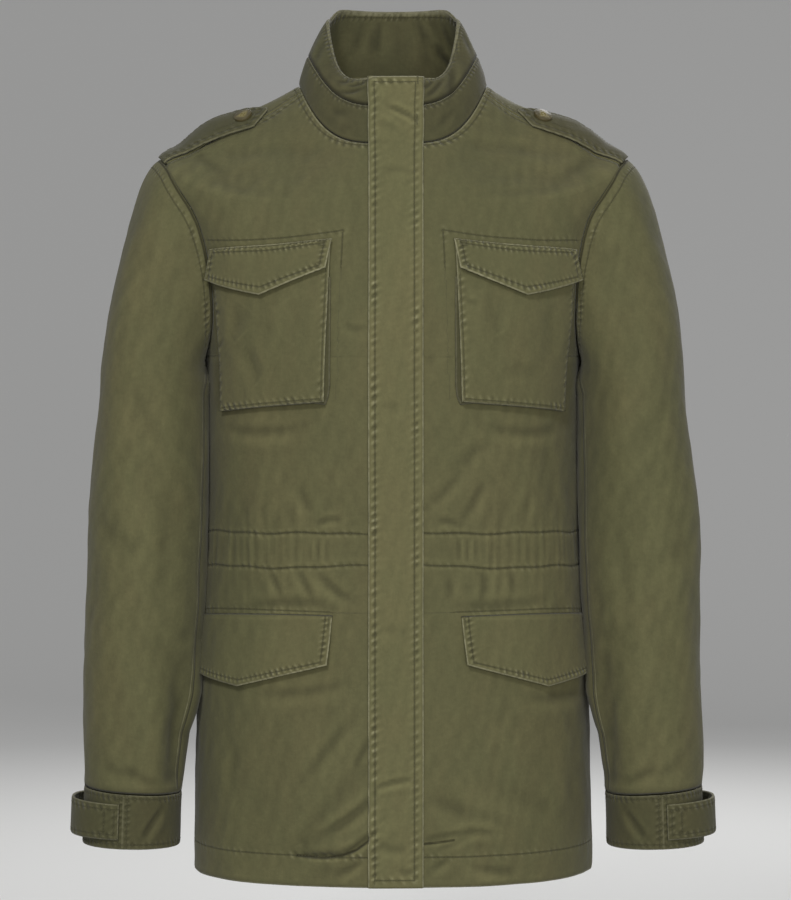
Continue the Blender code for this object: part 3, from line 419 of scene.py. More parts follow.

# %% [markdown]
# ## Folds
# Pressed and washed cotton keeps a few long soft folds and many small ones. A cloth simulation
# would put them where it likes; here each is laid where the jacket has it, as a curve
# through three places with a width and a depth (a trough is negative). The large creases come
# first, straight and shared with the solids, and the curved folds give them their finer shape.

# %% Large creases
Crease = namedtuple("Crease", "arc z half_length half_width depth lean")
FRONT_CREASES = (
    Crease(-0.062, -0.686, 0.060, 0.012, -0.0030, 40),
    Crease(-0.040, -0.716, 0.055, 0.011, 0.0022, 62),
    Crease(-0.105, -0.725, 0.045, 0.012, -0.0020, 80),
    Crease(-0.190, -0.118, 0.035, 0.012, -0.0022, -55),
    Crease(-0.110, -0.092, 0.060, 0.013, -0.0018, 84),
    Crease(0.110, -0.092, 0.060, 0.013, -0.0018, -84),
    Crease(0.185, -0.116, 0.035, 0.012, -0.0022, 55),
    Crease(0.070, -0.700, 0.045, 0.012, -0.0020, -35),
    Crease(0.190, -0.655, 0.060, 0.016, -0.0018, 8),
    Crease(-0.150, -0.390, 0.050, 0.016, -0.0018, 12),
    Crease(0.160, -0.380, 0.050, 0.016, -0.0018, -10),
)
BACK_CREASES = (
    Crease(-0.085, -0.620, 0.110, 0.020, -0.0035, -6),
    Crease(0.070, -0.590, 0.090, 0.020, -0.0030, 9),
    Crease(0.150, -0.655, 0.075, 0.018, -0.0026, -8),
    Crease(-0.175, -0.300, 0.085, 0.018, -0.0035, -24),
    Crease(0.178, -0.310, 0.080, 0.018, -0.0032, 24),
    Crease(0.030, -0.345, 0.070, 0.020, -0.0026, 5),
    Crease(-0.060, -0.085, 0.075, 0.016, -0.0022, 78),
)
SleeveCrease = namedtuple("SleeveCrease", "turn z half_length half_width depth lean")
SLEEVE_CREASES = (
    SleeveCrease(0.15, -0.610, 0.085, 0.019, -0.0030, 8),
    SleeveCrease(0.05, -0.560, 0.055, 0.016, -0.0022, -10),
    SleeveCrease(0.30, -0.648, 0.030, 0.012, -0.0008, 58),
    SleeveCrease(0.20, -0.400, 0.060, 0.018, -0.0014, 28),
    SleeveCrease(0.36, -0.470, 0.070, 0.018, -0.0012, -14),
    SleeveCrease(0.62, -0.430, 0.065, 0.014, -0.0026, 40),
    SleeveCrease(0.74, -0.470, 0.060, 0.014, -0.0030, -35),
    SleeveCrease(0.82, -0.330, 0.060, 0.015, -0.0028, 30),
    SleeveCrease(0.70, -0.620, 0.050, 0.012, -0.0022, 15),
)
SLEEVE_GIRTH = 0.37
SIDE_SEAM = math.radians(90)
CREASE_FADE = 0.25
CREASE_FREE_ROWS = 0.35


def crease_height(creases, arc, z):
    """Summed height of straight creases at places given by distance round and height."""
    height = np.zeros(np.shape(arc))
    for crease in creases:
        lean = math.radians(crease.lean)
        across = (arc - crease.arc) * math.cos(lean) - (z - crease.z) * math.sin(lean)
        along = (arc - crease.arc) * math.sin(lean) + (z - crease.z) * math.cos(lean)
        fall = np.exp(-(across / crease.half_width) ** 2 - (along / crease.half_length) ** 4)
        height = height + crease.depth * fall
    return height


print("large creases:", len(FRONT_CREASES) + len(BACK_CREASES) + len(SLEEVE_CREASES))

# %% [markdown]
# A curved fold is drawn as a pen stroke with one bend. Across it the cloth sinks in a trough and
# stands up in a lower ridge on the under side, where its own weight pushes it out. Most of them
# start at something that holds the cloth: the placket, the casing, a pocket or the hem.

# %% Curved folds
Fold = namedtuple("Fold", "start bend end width depth")


def folds(*rows):
    """Folds from rows of millimetres: start, bend and end, each (round, up), width, depth."""
    lengths = (tuple(number / 1000 for number in row) for row in rows)
    return tuple(Fold(row[:2], row[2:4], row[4:6], *row[6:]) for row in lengths)


FRONT_FOLDS = folds(
    # beside the placket and along the hem, wearer's right
    (-17, -668, -40, -696, -82, -713, 5.5, -2.2),
    (-16, -700, -33, -718, -50, -724.5, 4.2, -2.4),
    (-18, -704, -34, -719.5, -47, -724.5, 2, -1.3),
    (-40, -723.5, -63, -726, -98, -725.5, 3.6, -1.8),
    (-42, -724, -63, -726.2, -92, -725.7, 1.8, -1.4),
    (-30, -712, -50, -716, -85, -718.5, 6, 1.2),
    (-36, -595, -54, -618, -82, -656, 7, -1.2),
    (-20, -616, -29, -630, -36, -646, 4.5, -0.9),
    (-30, -730, -38, -738, -52, -741, 3.5, -1),
    # shoulder and chest, wearer's right
    (-222, -70, -201, -78, -168, -93, 6, -1.2),
    (-190, -71, -138, -68, -58, -74, 9, -1.2),
    (-45, -85, -36, -120, -30, -165, 8, -0.7),
    (-46, -236, -36, -244, -22, -240, 4.5, -0.6),
    (-100, -118, -120, -140, -126, -160, 9, -0.6),
    # round the waist casing, wearer's right
    (-88, -463, -83, -474, -74, -492, 4, -0.7),
    (-119, -463, -113, -472, -105, -489, 4, -0.8),
    (-70, -463, -58, -484, -36, -490, 5, -1.2),
    (-150, -500, -104, -490, -56, -496, 6, -1.2),
    (-92, -429, -96, -410, -91, -398, 4, -0.5),
    (-76, -412, -82, -400, -90, -384, 5.5, -0.9),
    (-120, -429, -123, -414, -128, -400, 4.5, -0.4),
    (-142, -429, -145, -412, -150, -392, 5, -0.3),
    (-48, -417, -58, -416, -72, -420, 2.6, -1.1),
    (-64.5, -433, -66, -445, -65, -458, 1.6, 0.7),
    (-74, -434, -72.8, -446, -73.5, -457, 1.6, 0.6),
    # under the pockets, wearer's right
    (-130, -578, -87, -579, -40, -566, 6, -0.9),
    (-178, -331, -126, -340, -84, -331, 6, -1.1),
    (-170, -600, -150, -640, -160, -690, 11, -0.8),
    # round the waist casing, wearer's left
    (64, -420, 72, -404, 88, -380, 5.5, -0.9),
    (34, -404, 50, -390, 68, -368, 6, -1),
    (100, -429, 104, -412, 110, -398, 5, -0.5),
    (125, -429, 128, -410, 134, -390, 4.5, -0.4),
    (80, -463, 91, -474, 80, -494, 5, -1),
    (50, -470, 56, -480, 48, -496, 5, -0.8),
    (110, -463, 116, -476, 112, -492, 4.5, -0.7),
    (58, -496, 101, -498, 150, -492, 6, -1.2),
    (40, -419, 50, -417, 62, -421, 3, -0.8),
    (64, -433, 65.5, -445, 65, -458, 1.6, 0.7),
    (73.5, -434, 72.5, -446, 73.2, -457, 1.6, 0.6),
    # chest and shoulder, wearer's left
    (200, -71, 144, -68, 72, -66, 9, -1.2),
    (226, -70, 200, -82, 160, -98, 7, -1.3),
    (48, -375, 71, -357, 101, -340, 8, -0.8),
    (32, -200, 38, -240, 34, -290, 8, -0.6),
    # hem, wearer's left
    (26, -711, 49, -708, 72, -704, 4, -2),
    (66, -704, 78, -702.5, 97, -706, 4, -1.7),
    (38, -719, 54, -716, 68, -708, 3.5, -1.1),
    (28, -670, 61, -684, 110, -697, 8, -0.9),
    (70, -734, 92, -741, 116, -741, 4.5, -1),
    (34, -738, 45, -732, 52, -728, 3.5, -0.9),
    (80, -646, 121, -678, 190, -696, 12, -0.9),
    (128, -582, 170, -586, 212, -582, 6, -1),
    (178, -331, 134, -341, 84, -331, 6, -1.1),
)
BACK_FOLDS = folds(
    (-120, -500, -100, -560, -110, -640, 9, -1.4),
    (20, -490, 30, -540, 10, -600, 9, -1),
    (-10, -640, -30, -690, -20, -722, 7, -1.1),
    (110, -480, 130, -530, 120, -580, 8, -1.2),
    (-180, -250, -140, -300, -110, -380, 9, -1.3),
    (180, -250, 150, -320, 130, -400, 8, -1.2),
    (-60, -425, -64, -400, -58, -370, 5, -1),
    (75, -425, 70, -398, 78, -366, 5, -1),
    (0, -425, 4, -400, -2, -376, 5, -0.8),
    (-110, -465, -104, -490, -110, -515, 5, -1),
    (50, -465, 56, -488, 50, -512, 5, -1),
    (-130, -120, -70, -140, 0, -132, 11, -1),
    (150, -160, 120, -200, 70, -220, 11, -1),
    (60, -690, 90, -712, 140, -716, 5, -1.3),
)
FOLD_PIECES = 10
FOLD_STRENGTH = 1.5
FOLD_REACH = 4.5
FOLD_TIPS, TIP_POWER = (0.04, 0.96), 0.7
RIDGE_PLACE, RIDGE_SPREAD, RIDGE_SHARE = 1.8, 1.3, 0.38


def fold_height(folds, across, up):
    """Summed height of curved folds, each a trough with a lower ridge along its under side."""
    height = np.zeros(np.shape(across))
    for fold in folds:
        start, bend, end = (np.array(spot, float) for spot in fold[:3])
        t = np.linspace(0, 1, FOLD_PIECES + 1)[:, None]
        line = (1 - t) ** 2 * start + 2 * t * (1 - t) * bend + t ** 2 * end
        margin = FOLD_REACH * fold.width
        low, high = line.min(axis=0) - margin, line.max(axis=0) + margin
        near = (across > low[0]) & (across < high[0]) & (up > low[1]) & (up < high[1])
        if not near.any():
            continue
        spot = np.stack([across[near], up[near]], axis=-1)[:, None]
        leg = np.diff(line, axis=0)
        share = np.clip(((spot - line[:-1]) * leg).sum(-1) / (leg ** 2).sum(-1), 0, 1)
        gap = np.linalg.norm(spot - line[:-1] - share[..., None] * leg, axis=-1)
        best = gap.argmin(axis=1)[:, None]
        gap = np.take_along_axis(gap, best, 1)[:, 0]
        run = (best[:, 0] + np.take_along_axis(share, best, 1)[:, 0]) / FOLD_PIECES
        ends = np.sin(math.pi * np.clip(run, *FOLD_TIPS)) ** TIP_POWER
        legs, away = leg[best[:, 0]], spot[:, 0] - line[best[:, 0]]
        lower_side = -1 if line[-1, 0] > line[0, 0] else 1
        turn = legs[:, 0] * away[:, 1] - legs[:, 1] * away[:, 0]
        below = np.sign(turn) * lower_side * gap
        trough = np.exp(-(gap / fold.width) ** 2)
        ridge = np.exp(-((below / fold.width - RIDGE_PLACE) / RIDGE_SPREAD) ** 2)
        height[near] += FOLD_STRENGTH * fold.depth * ends * (trough - RIDGE_SHARE * ridge)
    return height


print("curved folds on the body:", len(FRONT_FOLDS) + len(BACK_FOLDS))

# %% [markdown]
# Between the folds, washed twill is never quite flat. A sum of long and short ripples in fixed
# directions gives it that unrest. They are longer up and down than across, as the warp is
# tighter than the weft, and a fixed seed makes them the same every time.

# %% Crumple of washed cloth
Ripple = namedtuple("Ripple", "height shortest longest count seed")
RIPPLES = (
    Ripple(0.00075, 0.070, 0.150, 12, 11),
    Ripple(0.00028, 0.026, 0.055, 14, 12),
    Ripple(0.00012, 0.011, 0.020, 16, 13),
)
UPRIGHT_STRETCH = 0.62


def ripple_waves(ripple):
    """Wave vectors and phases of one band of ripples."""
    random = np.random.default_rng(ripple.seed)
    heading = unit(random.normal(size=(ripple.count, 3)))
    heading[:, 2] *= UPRIGHT_STRETCH
    length = random.uniform(ripple.shortest, ripple.longest, ripple.count)
    return heading * (math.tau / length)[:, None], random.uniform(0, math.tau, ripple.count)


RIPPLE_WAVES = [(ripple.height * math.sqrt(2 / ripple.count), *ripple_waves(ripple))
                for ripple in RIPPLES]


def crumple(points):
    """Height of the cloth's unrest at points on its skin."""
    return sum(height * np.sin(points @ waves.T + phases).sum(axis=-1)
               for height, waves, phases in RIPPLE_WAVES)


test_heights = crumple(body_skin(np.linspace(0, 15, 400), np.linspace(0, 6, 400)))
print("crumple, millimetres either way:", round(1000 * float(np.abs(test_heights).max()), 2))

# %% [markdown]
# The waist casing hides a cord that draws the cloth up, more at the sides than beside the
# placket. The gathers are waves round the body, uneven in height, strongest between the casing's
# two stitched edges and gone a hand's width above and below it. Their depth, spacing and lean
# all wander at rates that share no common beat, so no two gathers are alike.

# %% Waist gathers
Gathers = namedtuple("Gathers", "first_arc wave depth")
FRONT_GATHERS = Gathers(0.078, 0.0088, 0.00052)
BACK_GATHERS = Gathers(0.0, 0.0125, 0.00075)
GATHER_REACH_ROWS = (4.35, 4.93, 5.0, 5.5, 6.0, 6.09, 6.6)
GATHER_REACH = (0.0, 0.40, 0.90, 1.0, 0.90, 0.35, 0.0)
GATHER_START = 0.012
GATHER_MEAN, GATHER_SWING, GATHER_BEATS = 0.62, 0.38, (151, 67)
GATHER_LEAN, LEAN_BEAT, CASING_MIDDLE = 0.5, 43, 5.5
Wander = namedtuple("Wander", "size beat shift")
GATHER_WANDERS = (Wander(1.7, 71, 1), Wander(0.9, 187, 3))
CASING_WANDERS = (Wander(0.0005, 121, 0), Wander(0.0006, 57, 1))
CASING_DIP, DIP_WIDTH = 0.0045, 0.055
CASING_ROW_HEIGHT = 0.054
TUCK_DEPTH, TUCK_WIDTH = 0.0007, 0.0015
TUCK_START, TUCK_RUN_IN = 0.026, 0.006


def wandering(wanders, arc, seed):
    return sum(size * np.sin(arc * beat + shift * seed) for size, beat, shift in wanders)


def gather_height(gathers, row, arc, seed):
    """Height of the waist gathers at a row and a distance round."""
    beyond = np.clip((np.abs(arc) - gathers.first_arc) / GATHER_START, 0, 1)
    first, second = GATHER_BEATS
    uneven = GATHER_MEAN + GATHER_SWING * (
        np.sin(arc * first + seed) * np.sin(arc * second + 2 * seed))
    lean = (row - CASING_MIDDLE) * GATHER_LEAN * np.sin(arc * LEAN_BEAT + seed)
    phase = arc / gathers.wave * math.tau + lean + wandering(GATHER_WANDERS, arc, seed)
    strength = np.interp(row, GATHER_REACH_ROWS, GATHER_REACH)
    return gathers.depth * strength * uneven * beyond * np.sin(phase)


def casing_sway(seam_row, arc):
    """How far a casing seam wanders up or down from its row, in metres."""
    sway = wandering(CASING_WANDERS, arc, seam_row)
    if seam_row == CASING_ROWS[0]:
        sway = sway + CASING_DIP * np.exp(-(arc / DIP_WIDTH) ** 2)
    return sway


def tuck_height(arc, z):
    """The fine tuck that each stitched edge of the casing pulls into the cloth."""
    height = np.zeros(np.shape(z))
    for seam_row in CASING_ROWS:
        seam_z = float(between(BODY_RINGS, seam_row)[0]) + casing_sway(seam_row, arc)
        height = height - TUCK_DEPTH * np.exp(-((z - seam_z) / TUCK_WIDTH) ** 2)
    return height * np.clip((np.abs(arc) - TUCK_START) / TUCK_RUN_IN, 0, 1)


FRONT_REACH = 0.27
print("gathers on one front:", int((FRONT_REACH - FRONT_GATHERS.first_arc) / FRONT_GATHERS.wave))

# %% [markdown]
# Everything so far meets in three functions that give a point of the finished cloth: on the body
# by row and distance round, on the collar by tier and angle, on a sleeve by row and turn. Each
# starts from the smooth skin, adds the folds, gathers and crumple there, and moves out along the
# skin's own normal. What is laid on a panel later asks the same functions, so it follows them.

# %% Points on the body, collar and sleeves
NECK_FADE_ROWS = 0.5
FRONT_SEED, BACK_SEED = 0.7, 2.1
COLLAR_FOLDS = folds(
    (-56, 48, -45, 58, -31, 64, 4, -1.6),
    (-50, 64, -40, 71, -30, 77, 3.4, -1.3),
    (-66, 60, -60, 66, -50, 78, 4, -0.8),
    (31, 52, 44, 60, 60, 70, 4, -1.7),
    (32, 64, 40, 69, 50, 76, 3.4, -1.3),
    (80, 78, 71, 58, 56, 34, 6, -1.6),
    (36, 14, 50, 22, 62, 20, 5, -0.9),
    (-40, 30, -50, 22, -62, 24, 5, -0.9),
    (-100, 50, -110, 62, -104, 76, 5, -1),
    (110, 50, 120, 62, 116, 76, 5, -1),
    (-252, 34, -249, 56, -253, 77, 5.6, 1.7),
    (-266, 30, -268, 52, -265, 72, 5, 1),
    (234, 34, 230, 56, 235, 77, 5.8, 1.8),
    (214, 46, 218, 60, 213, 74, 5, 1.2),
    (200, 20, 224, 34, 236, 56, 6, -1.8),
)
COLLAR_ARC, COLLAR_TIER = 0.088, 0.042
COLLAR_HELD_TIER, COLLAR_CRUMPLE = 0.2, 0.8


def body_lift(row, angle, skin):
    """How far the cloth stands off its smooth skin."""
    arc = arc_at(row, angle)
    half_round = arc_at(row, np.full(np.shape(angle), math.pi))
    from_back = np.sign(angle) * (half_round - np.abs(arc))
    z = skin[..., 2]
    front = (crease_height(FRONT_CREASES, arc, z) + fold_height(FRONT_FOLDS, arc, z)
             + gather_height(FRONT_GATHERS, row, arc, FRONT_SEED))
    back = (crease_height(BACK_CREASES, from_back, z) + fold_height(BACK_FOLDS, from_back, z)
            + gather_height(BACK_GATHERS, row, from_back, BACK_SEED))
    side = np.clip((np.abs(angle) - SIDE_SEAM) / CREASE_FADE, -1, 1)
    creased = np.where(side < 0, front * np.minimum(-side, 1), back * side)
    neck = np.clip((NECK_ROW - row) / NECK_FADE_ROWS, 0, 1)
    return (creased + crumple(skin)) * neck + tuck_height(arc, z)


def collar_lift(tier, angle, skin):
    """The same on the collar, whose seams hold it still."""
    signed = np.mod(angle + math.pi, math.tau) - math.pi
    creased = fold_height(COLLAR_FOLDS, signed * COLLAR_ARC, tier * COLLAR_TIER)
    return (creased + COLLAR_CRUMPLE * crumple(skin)) * np.clip(tier / COLLAR_HELD_TIER, 0, 1)


def jacket_point(row, angle, out=0.0):
    """Point a distance out from the cloth of the body or, above the neck row, the collar."""
    row, angle, out = arrays(row, angle, out)
    skin = jacket_skin(row, angle)
    lift = np.where(row > NECK_ROW, collar_lift(np.maximum(row - NECK_ROW, 0), angle, skin),
                    body_lift(np.minimum(row, NECK_ROW), angle, skin))
    return skin + outward(jacket_skin, row, angle) * (lift + out)[..., None]


def on_body(row, arc, out=0.0):
    """Point on the body by row and signed distance round."""
    return jacket_point(row, angle_at(row, arc), out)


def on_collar(tier, angle, out=0.0):
    return jacket_point(NECK_ROW + np.maximum(tier, 1e-6), angle, out)


SLEEVE_FOLDS = {
    1: folds(
        (40, -530, 38, -610, 20, -690, 16, -3.6),
        (118, -640, 96, -655, 70, -652, 6, -0.4),
        (88, -648, 70, -660, 46, -662, 5, -0.6),
        (120, -300, 100, -340, 60, -360, 12, -0.8),
        (150, -430, 120, -455, 70, -460, 12, -0.7),
        (60, -420, 74, -470, 70, -530, 10, -0.8),
        (230, -400, 260, -440, 300, -450, 11, -1.3),
        (250, -520, 280, -560, 320, -565, 10, -1.2),
        (50, -688, 62, -700, 78, -713, 4.5, -7.5),
    ),
    -1: folds(
        (38, -530, 40, -610, 21, -690, 16, -3.8),
        (120, -645, 100, -656, 76, -650, 6, -0.4),
        (92, -650, 76, -662, 50, -664, 5, -0.7),
        (110, -280, 96, -320, 66, -345, 12, -0.8),
        (145, -410, 115, -440, 72, -448, 12, -0.9),
        (62, -400, 70, -450, 66, -510, 10, -0.8),
        (235, -420, 262, -455, 300, -460, 11, -1.3),
        (255, -540, 280, -575, 320, -580, 10, -1.2),
        (48.5, -687, 60, -700, 76, -714, 4.5, -8),
    ),
}
SLEEVE_REST, REST_TURN = 0.0072, 0.10
REST_ROWS = (-0.9, -0.2, 3.0, 3.8)
SEAM_CREASES = 0.25
ARMHOLE_FOLLOW = 0.3


def on_sleeve(side):
    """A function that gives points on the left (1) or right (-1) sleeve."""
    def place(row, turn, out=0.0):
        row, turn, out = arrays(row, turn, out)
        skin = sleeve_skin(row, turn)
        z = skin[..., 2]
        lift = np.zeros(np.shape(turn))
        for fold in SLEEVE_CREASES:
            from_fold = (np.mod(turn + 0.5 - fold.turn, 1) - 0.5) * SLEEVE_GIRTH
            lift = lift + crease_height((Crease(0, *fold[1:]),), from_fold, z)
        lift = lift + fold_height(SLEEVE_FOLDS[side], np.mod(turn, 1) * SLEEVE_GIRTH, z)
        lift = lift + crumple(skin * np.array([side, 1, 1]))
        from_body = np.mod(turn + 0.5, 1) - 0.5
        lift = lift + (SLEEVE_REST * np.exp(-(from_body / REST_TURN) ** 2)
                       * np.interp(row, REST_ROWS, (0, 1, 1, 0)))
        fade = (np.clip((SLEEVE_SEAM_ROW - row) / CREASE_FREE_ROWS, SEAM_CREASES, 1)
                * np.clip((row + 1) / CREASE_FREE_ROWS, 0, 1))
        point = skin - outward(sleeve_skin, row, turn) * (out + lift * fade)[..., None]
        point = point * np.array([side, 1, 1])
        near_body = row < ARMHOLE_FOLLOW - 1
        if near_body.any():
            part = (row[near_body] + 1) / ARMHOLE_FOLLOW
            body_row, angle = armhole_row_angle(turn[near_body] * len(ARMHOLE))
            angle = angle * side
            stand = body_lift(body_row, angle, body_skin(body_row, angle)) * (1 - part) ** 2
            point[near_body] += outward(body_skin, body_row, angle) * stand[:, None]
        return point
    return place


print("armhole top:", np.round(on_sleeve(1)(-1.0, 0.5), 3))

# %% [markdown]
# ## Finishes
# Three effects make this cloth, and each is a node group used by every cloth material. The
# twill's slanting ribs come from a sine across the cloth's own map, so they follow the grain of
# each piece. The dye has taken unevenly in soft upright patches, greener here and browner there.
# Along seams the raised cloth has rubbed pale, and each needle row lies in a fine channel that is
# darkened with painted shade, as are turned seams and the hollows of puckers.

# %% A helper to wire nodes
class Value:
    """An output in a node tree, which can be added and scaled as a number can."""

    def __init__(self, tree, socket):
        self.tree, self.socket = tree, socket

    def through(self, kind, inputs, output=0, **settings):
        return Value(self.tree, wire(self.tree, kind, inputs, **settings).outputs[output])

    def math(self, operation, *others):
        return self.through("ShaderNodeMath", dict(enumerate((self,) + others)),
                            operation=operation)

    def __add__(self, other):
        return self.math("ADD", other)

    def __sub__(self, other):
        return self.math("SUBTRACT", other)

    def __mul__(self, other):
        return self.math("MULTIPLY", other)

    def fade(self, start, end, low=0.0, high=1.0):
        """A smooth step from low at the start to high at the end."""
        return self.through("ShaderNodeMapRange", {
            "Value": self, "From Min": start, "From Max": end, "To Min": low,
            "To Max": high}, "Result", interpolation_type="SMOOTHSTEP")

    def split(self):
        parts = wire(self.tree, "ShaderNodeSeparateXYZ", {0: self}).outputs
        return [Value(self.tree, part) for part in parts]

    def noise(self, scale, detail=2.0, roughness=0.5):
        return self.through("ShaderNodeTexNoise", {
            "Vector": self, "Scale": scale, "Detail": detail, "Roughness": roughness}, "Fac")

    def stretch(self, scale):
        return self.through("ShaderNodeMapping", {"Vector": self, "Scale": scale}, "Vector")

    def blend(self, first, second):
        """The first colour where this value is 0 and the second where it is 1."""
        return self.through("ShaderNodeMix", {0: self, 6: first, 7: second}, 2,
                            data_type="RGBA")

    def scale(self, share):
        return self.through("ShaderNodeVectorMath", {0: self, "Scale": share},
                            operation="SCALE")


def wire(tree, kind, inputs=None, **settings):
    """Add a node whose inputs are numbers or other nodes' outputs."""
    made = tree.nodes.new(kind)
    for key, value in settings.items():
        setattr(made, key, value)
    for key, value in (inputs or {}).items():
        if isinstance(value, Value):
            tree.links.new(value.socket, made.inputs[key])
        else:
            made.inputs[key].default_value = value
    return made


def node_group(name, inputs, outputs):
    """A new group with its sockets, and its inputs as values."""
    group = bpy.data.node_groups.new(name, "ShaderNodeTree")
    for way, kind, sockets in (("INPUT", "NodeSocketVector", inputs),
                               ("OUTPUT", "NodeSocketFloat", outputs)):
        for socket in sockets:
            group.interface.new_socket(socket, in_out=way, socket_type=kind)
    given = wire(group, "NodeGroupInput").outputs
    return group, [Value(group, given[socket]) for socket in inputs]


def use_group(tree, group, **inputs):
    """A group put into a tree, as a table of its outputs."""
    made = wire(tree, "ShaderNodeGroup", inputs, node_tree=group)
    return {socket.name: Value(tree, socket) for socket in made.outputs}


def source(tree, kind, output, **settings):
    """A value that a tree takes from the mesh or from its place."""
    return Value(tree, wire(tree, kind, **settings).outputs[output])


print("wiring helpers:", [helper.__name__ for helper in (wire, node_group, use_group, source)])

# %% [markdown]
# A twill's ribs climb across the cloth at a steep slant, because each weft yarn passes over the
# warp one yarn further on. A sine along that slant makes the ribs, a finer one the yarns, and a
# stretched noise the thick and thin places that real yarn has.

# %% Twill weave
RIB_PITCH, RIB_SLANT = 0.0011, math.radians(63)
RIB_NOISE, RIB_WANDER = (420.0, 1.0), 1.6
YARN_PITCH = 0.00055
RIB_SHARE, YARN_SHARE, RIB_SHADE = 0.6, 0.2, 0.5
SLUB_STRETCH, SLUB_HEIGHT = (900.0, 160.0, 1.0), 1.2


def make_twill_weave():
    group, (cloth_map,) = node_group("twill weave", ["Map"], ["Shade", "Height"])
    x, y, _ = cloth_map.split()
    slant = x * (math.cos(RIB_SLANT) / RIB_PITCH) + y * (math.sin(RIB_SLANT) / RIB_PITCH)
    wander = cloth_map.noise(*RIB_NOISE) * RIB_WANDER
    rib = ((slant + wander) * math.tau).math("SINE")
    yarn = (y * (math.tau / YARN_PITCH)).math("SINE")
    cloth = rib * RIB_SHARE + yarn * YARN_SHARE
    slub = cloth_map.stretch(SLUB_STRETCH).noise(1.0)
    wire(group, "NodeGroupOutput", {"Shade": cloth * RIB_SHADE + slub,
                                    "Height": cloth + slub * SLUB_HEIGHT})
    return group


TWILL_WEAVE = make_twill_weave()
print("ribs to the centimetre:", round(0.01 / RIB_PITCH))

# %% [markdown]
# Garment dye takes unevenly: soft upright patches as large as a hand are greener or browner,
# smaller blotches lie between them, and fine specks and streaks follow the yarns. Each is a
# noise of its own size. A last one is a small unrest in height, for the washed surface.

# %% Uneven dye
TALL, STREAKED, SQUAT = (1.0, 1.0, 0.45), (1.0, 1.0, 0.2), (1.0, 1.0, 1.5)
PATCHES, BLOTCHES, PATCH_SHARE = (8.0, 3.0, 0.55), (46.0, 2.0, 0.55), 0.7
BROWN_FADE, VALUE_FADE = (0.38, 0.64), (0.32, 0.68)
CLOUD, SPECKS, STREAKS = (9.0, 2.0, 0.5), (260.0, 2.0, 0.6), (330.0, 2.0, 0.5)
CLOUD_SHARE, SPECK_SHARE, STREAK_SHARE = 0.3, 0.50, 0.20
WASHED = (105.0, 3.0, 0.55)


def make_garment_dye():
    group, (place,) = node_group("garment wash", ["Place"], ["Brown", "Value", "Height"])
    tall = place.stretch(TALL)
    brown = tall.noise(*PATCHES) * PATCH_SHARE + tall.noise(*BLOTCHES) * (1 - PATCH_SHARE)
    value = (tall.noise(*CLOUD) * CLOUD_SHARE + place.noise(*SPECKS) * SPECK_SHARE
             + place.stretch(STREAKED).noise(*STREAKS) * STREAK_SHARE)
    wire(group, "NodeGroupOutput", {
        "Brown": brown.fade(*BROWN_FADE), "Value": value.fade(*VALUE_FADE),
        "Height": place.stretch(SQUAT).noise(*WASHED)})
    return group


GARMENT_DYE = make_garment_dye()
print("dye group sockets:", [socket.name for socket in GARMENT_DYE.interface.items_tree])

# %% [markdown]
# Each cloth mesh carries two more maps. "Seam" holds, in metres, the way along the nearest row
# of stitching and the distance from it; "Edge" holds the same for the nearest edge, above zero
# by a worn one and below zero by one that is turned into a seam. The puckers that the thread
# pulls are a wave along the seam. The same wave moves the mesh itself below, so the shading and
# the shape agree.

# %% Worn seams and painted seam shade
PUCKER_WAVE = 0.0082
PUCKER_WANDER = (2.0, 37.0)
PUCKER_UNEVEN = (0.76, 0.24, 61.0)
PUCKER_REACH, PUCKER_FULL = 0.0056, 0.0012
PUCKER_LEAN = 0.40
PUCKER_INSIDE = 0.45
PUCKER_BUMP, CHANNEL_BUMP = 0.46, 0.30
PULL_NOISE, PULL_FADE = (70.0, 1.0), (0.34, 0.66, 0.42, 1.35)
# TICK_SHADE sets the painted shade in the hollows of the puckers, and GROOVE_SHADE the painted
# shade along turned seams.
TICK_FADE, TICK_SHADE = (-0.25, -0.80), 0.62
BAND_START, BAND_END = 0.0062, 0.0085
CHANNEL_WIDTH, CHANNEL_CORE = 0.0012, 0.0003
EDGE_FADE = (0.0017, 0.0004)
GROOVE_WIDTH, GROOVE_SHADE = 0.0015, 2.0
RUB_NOISE = (190.0, 3.0, 0.6)
EDGE_RUB, CREST_RUB, CREST_FADE = (0.25, 0.62, 0.35, 1.0), (0.3, 0.65, 0.3, 1.0), 0.36


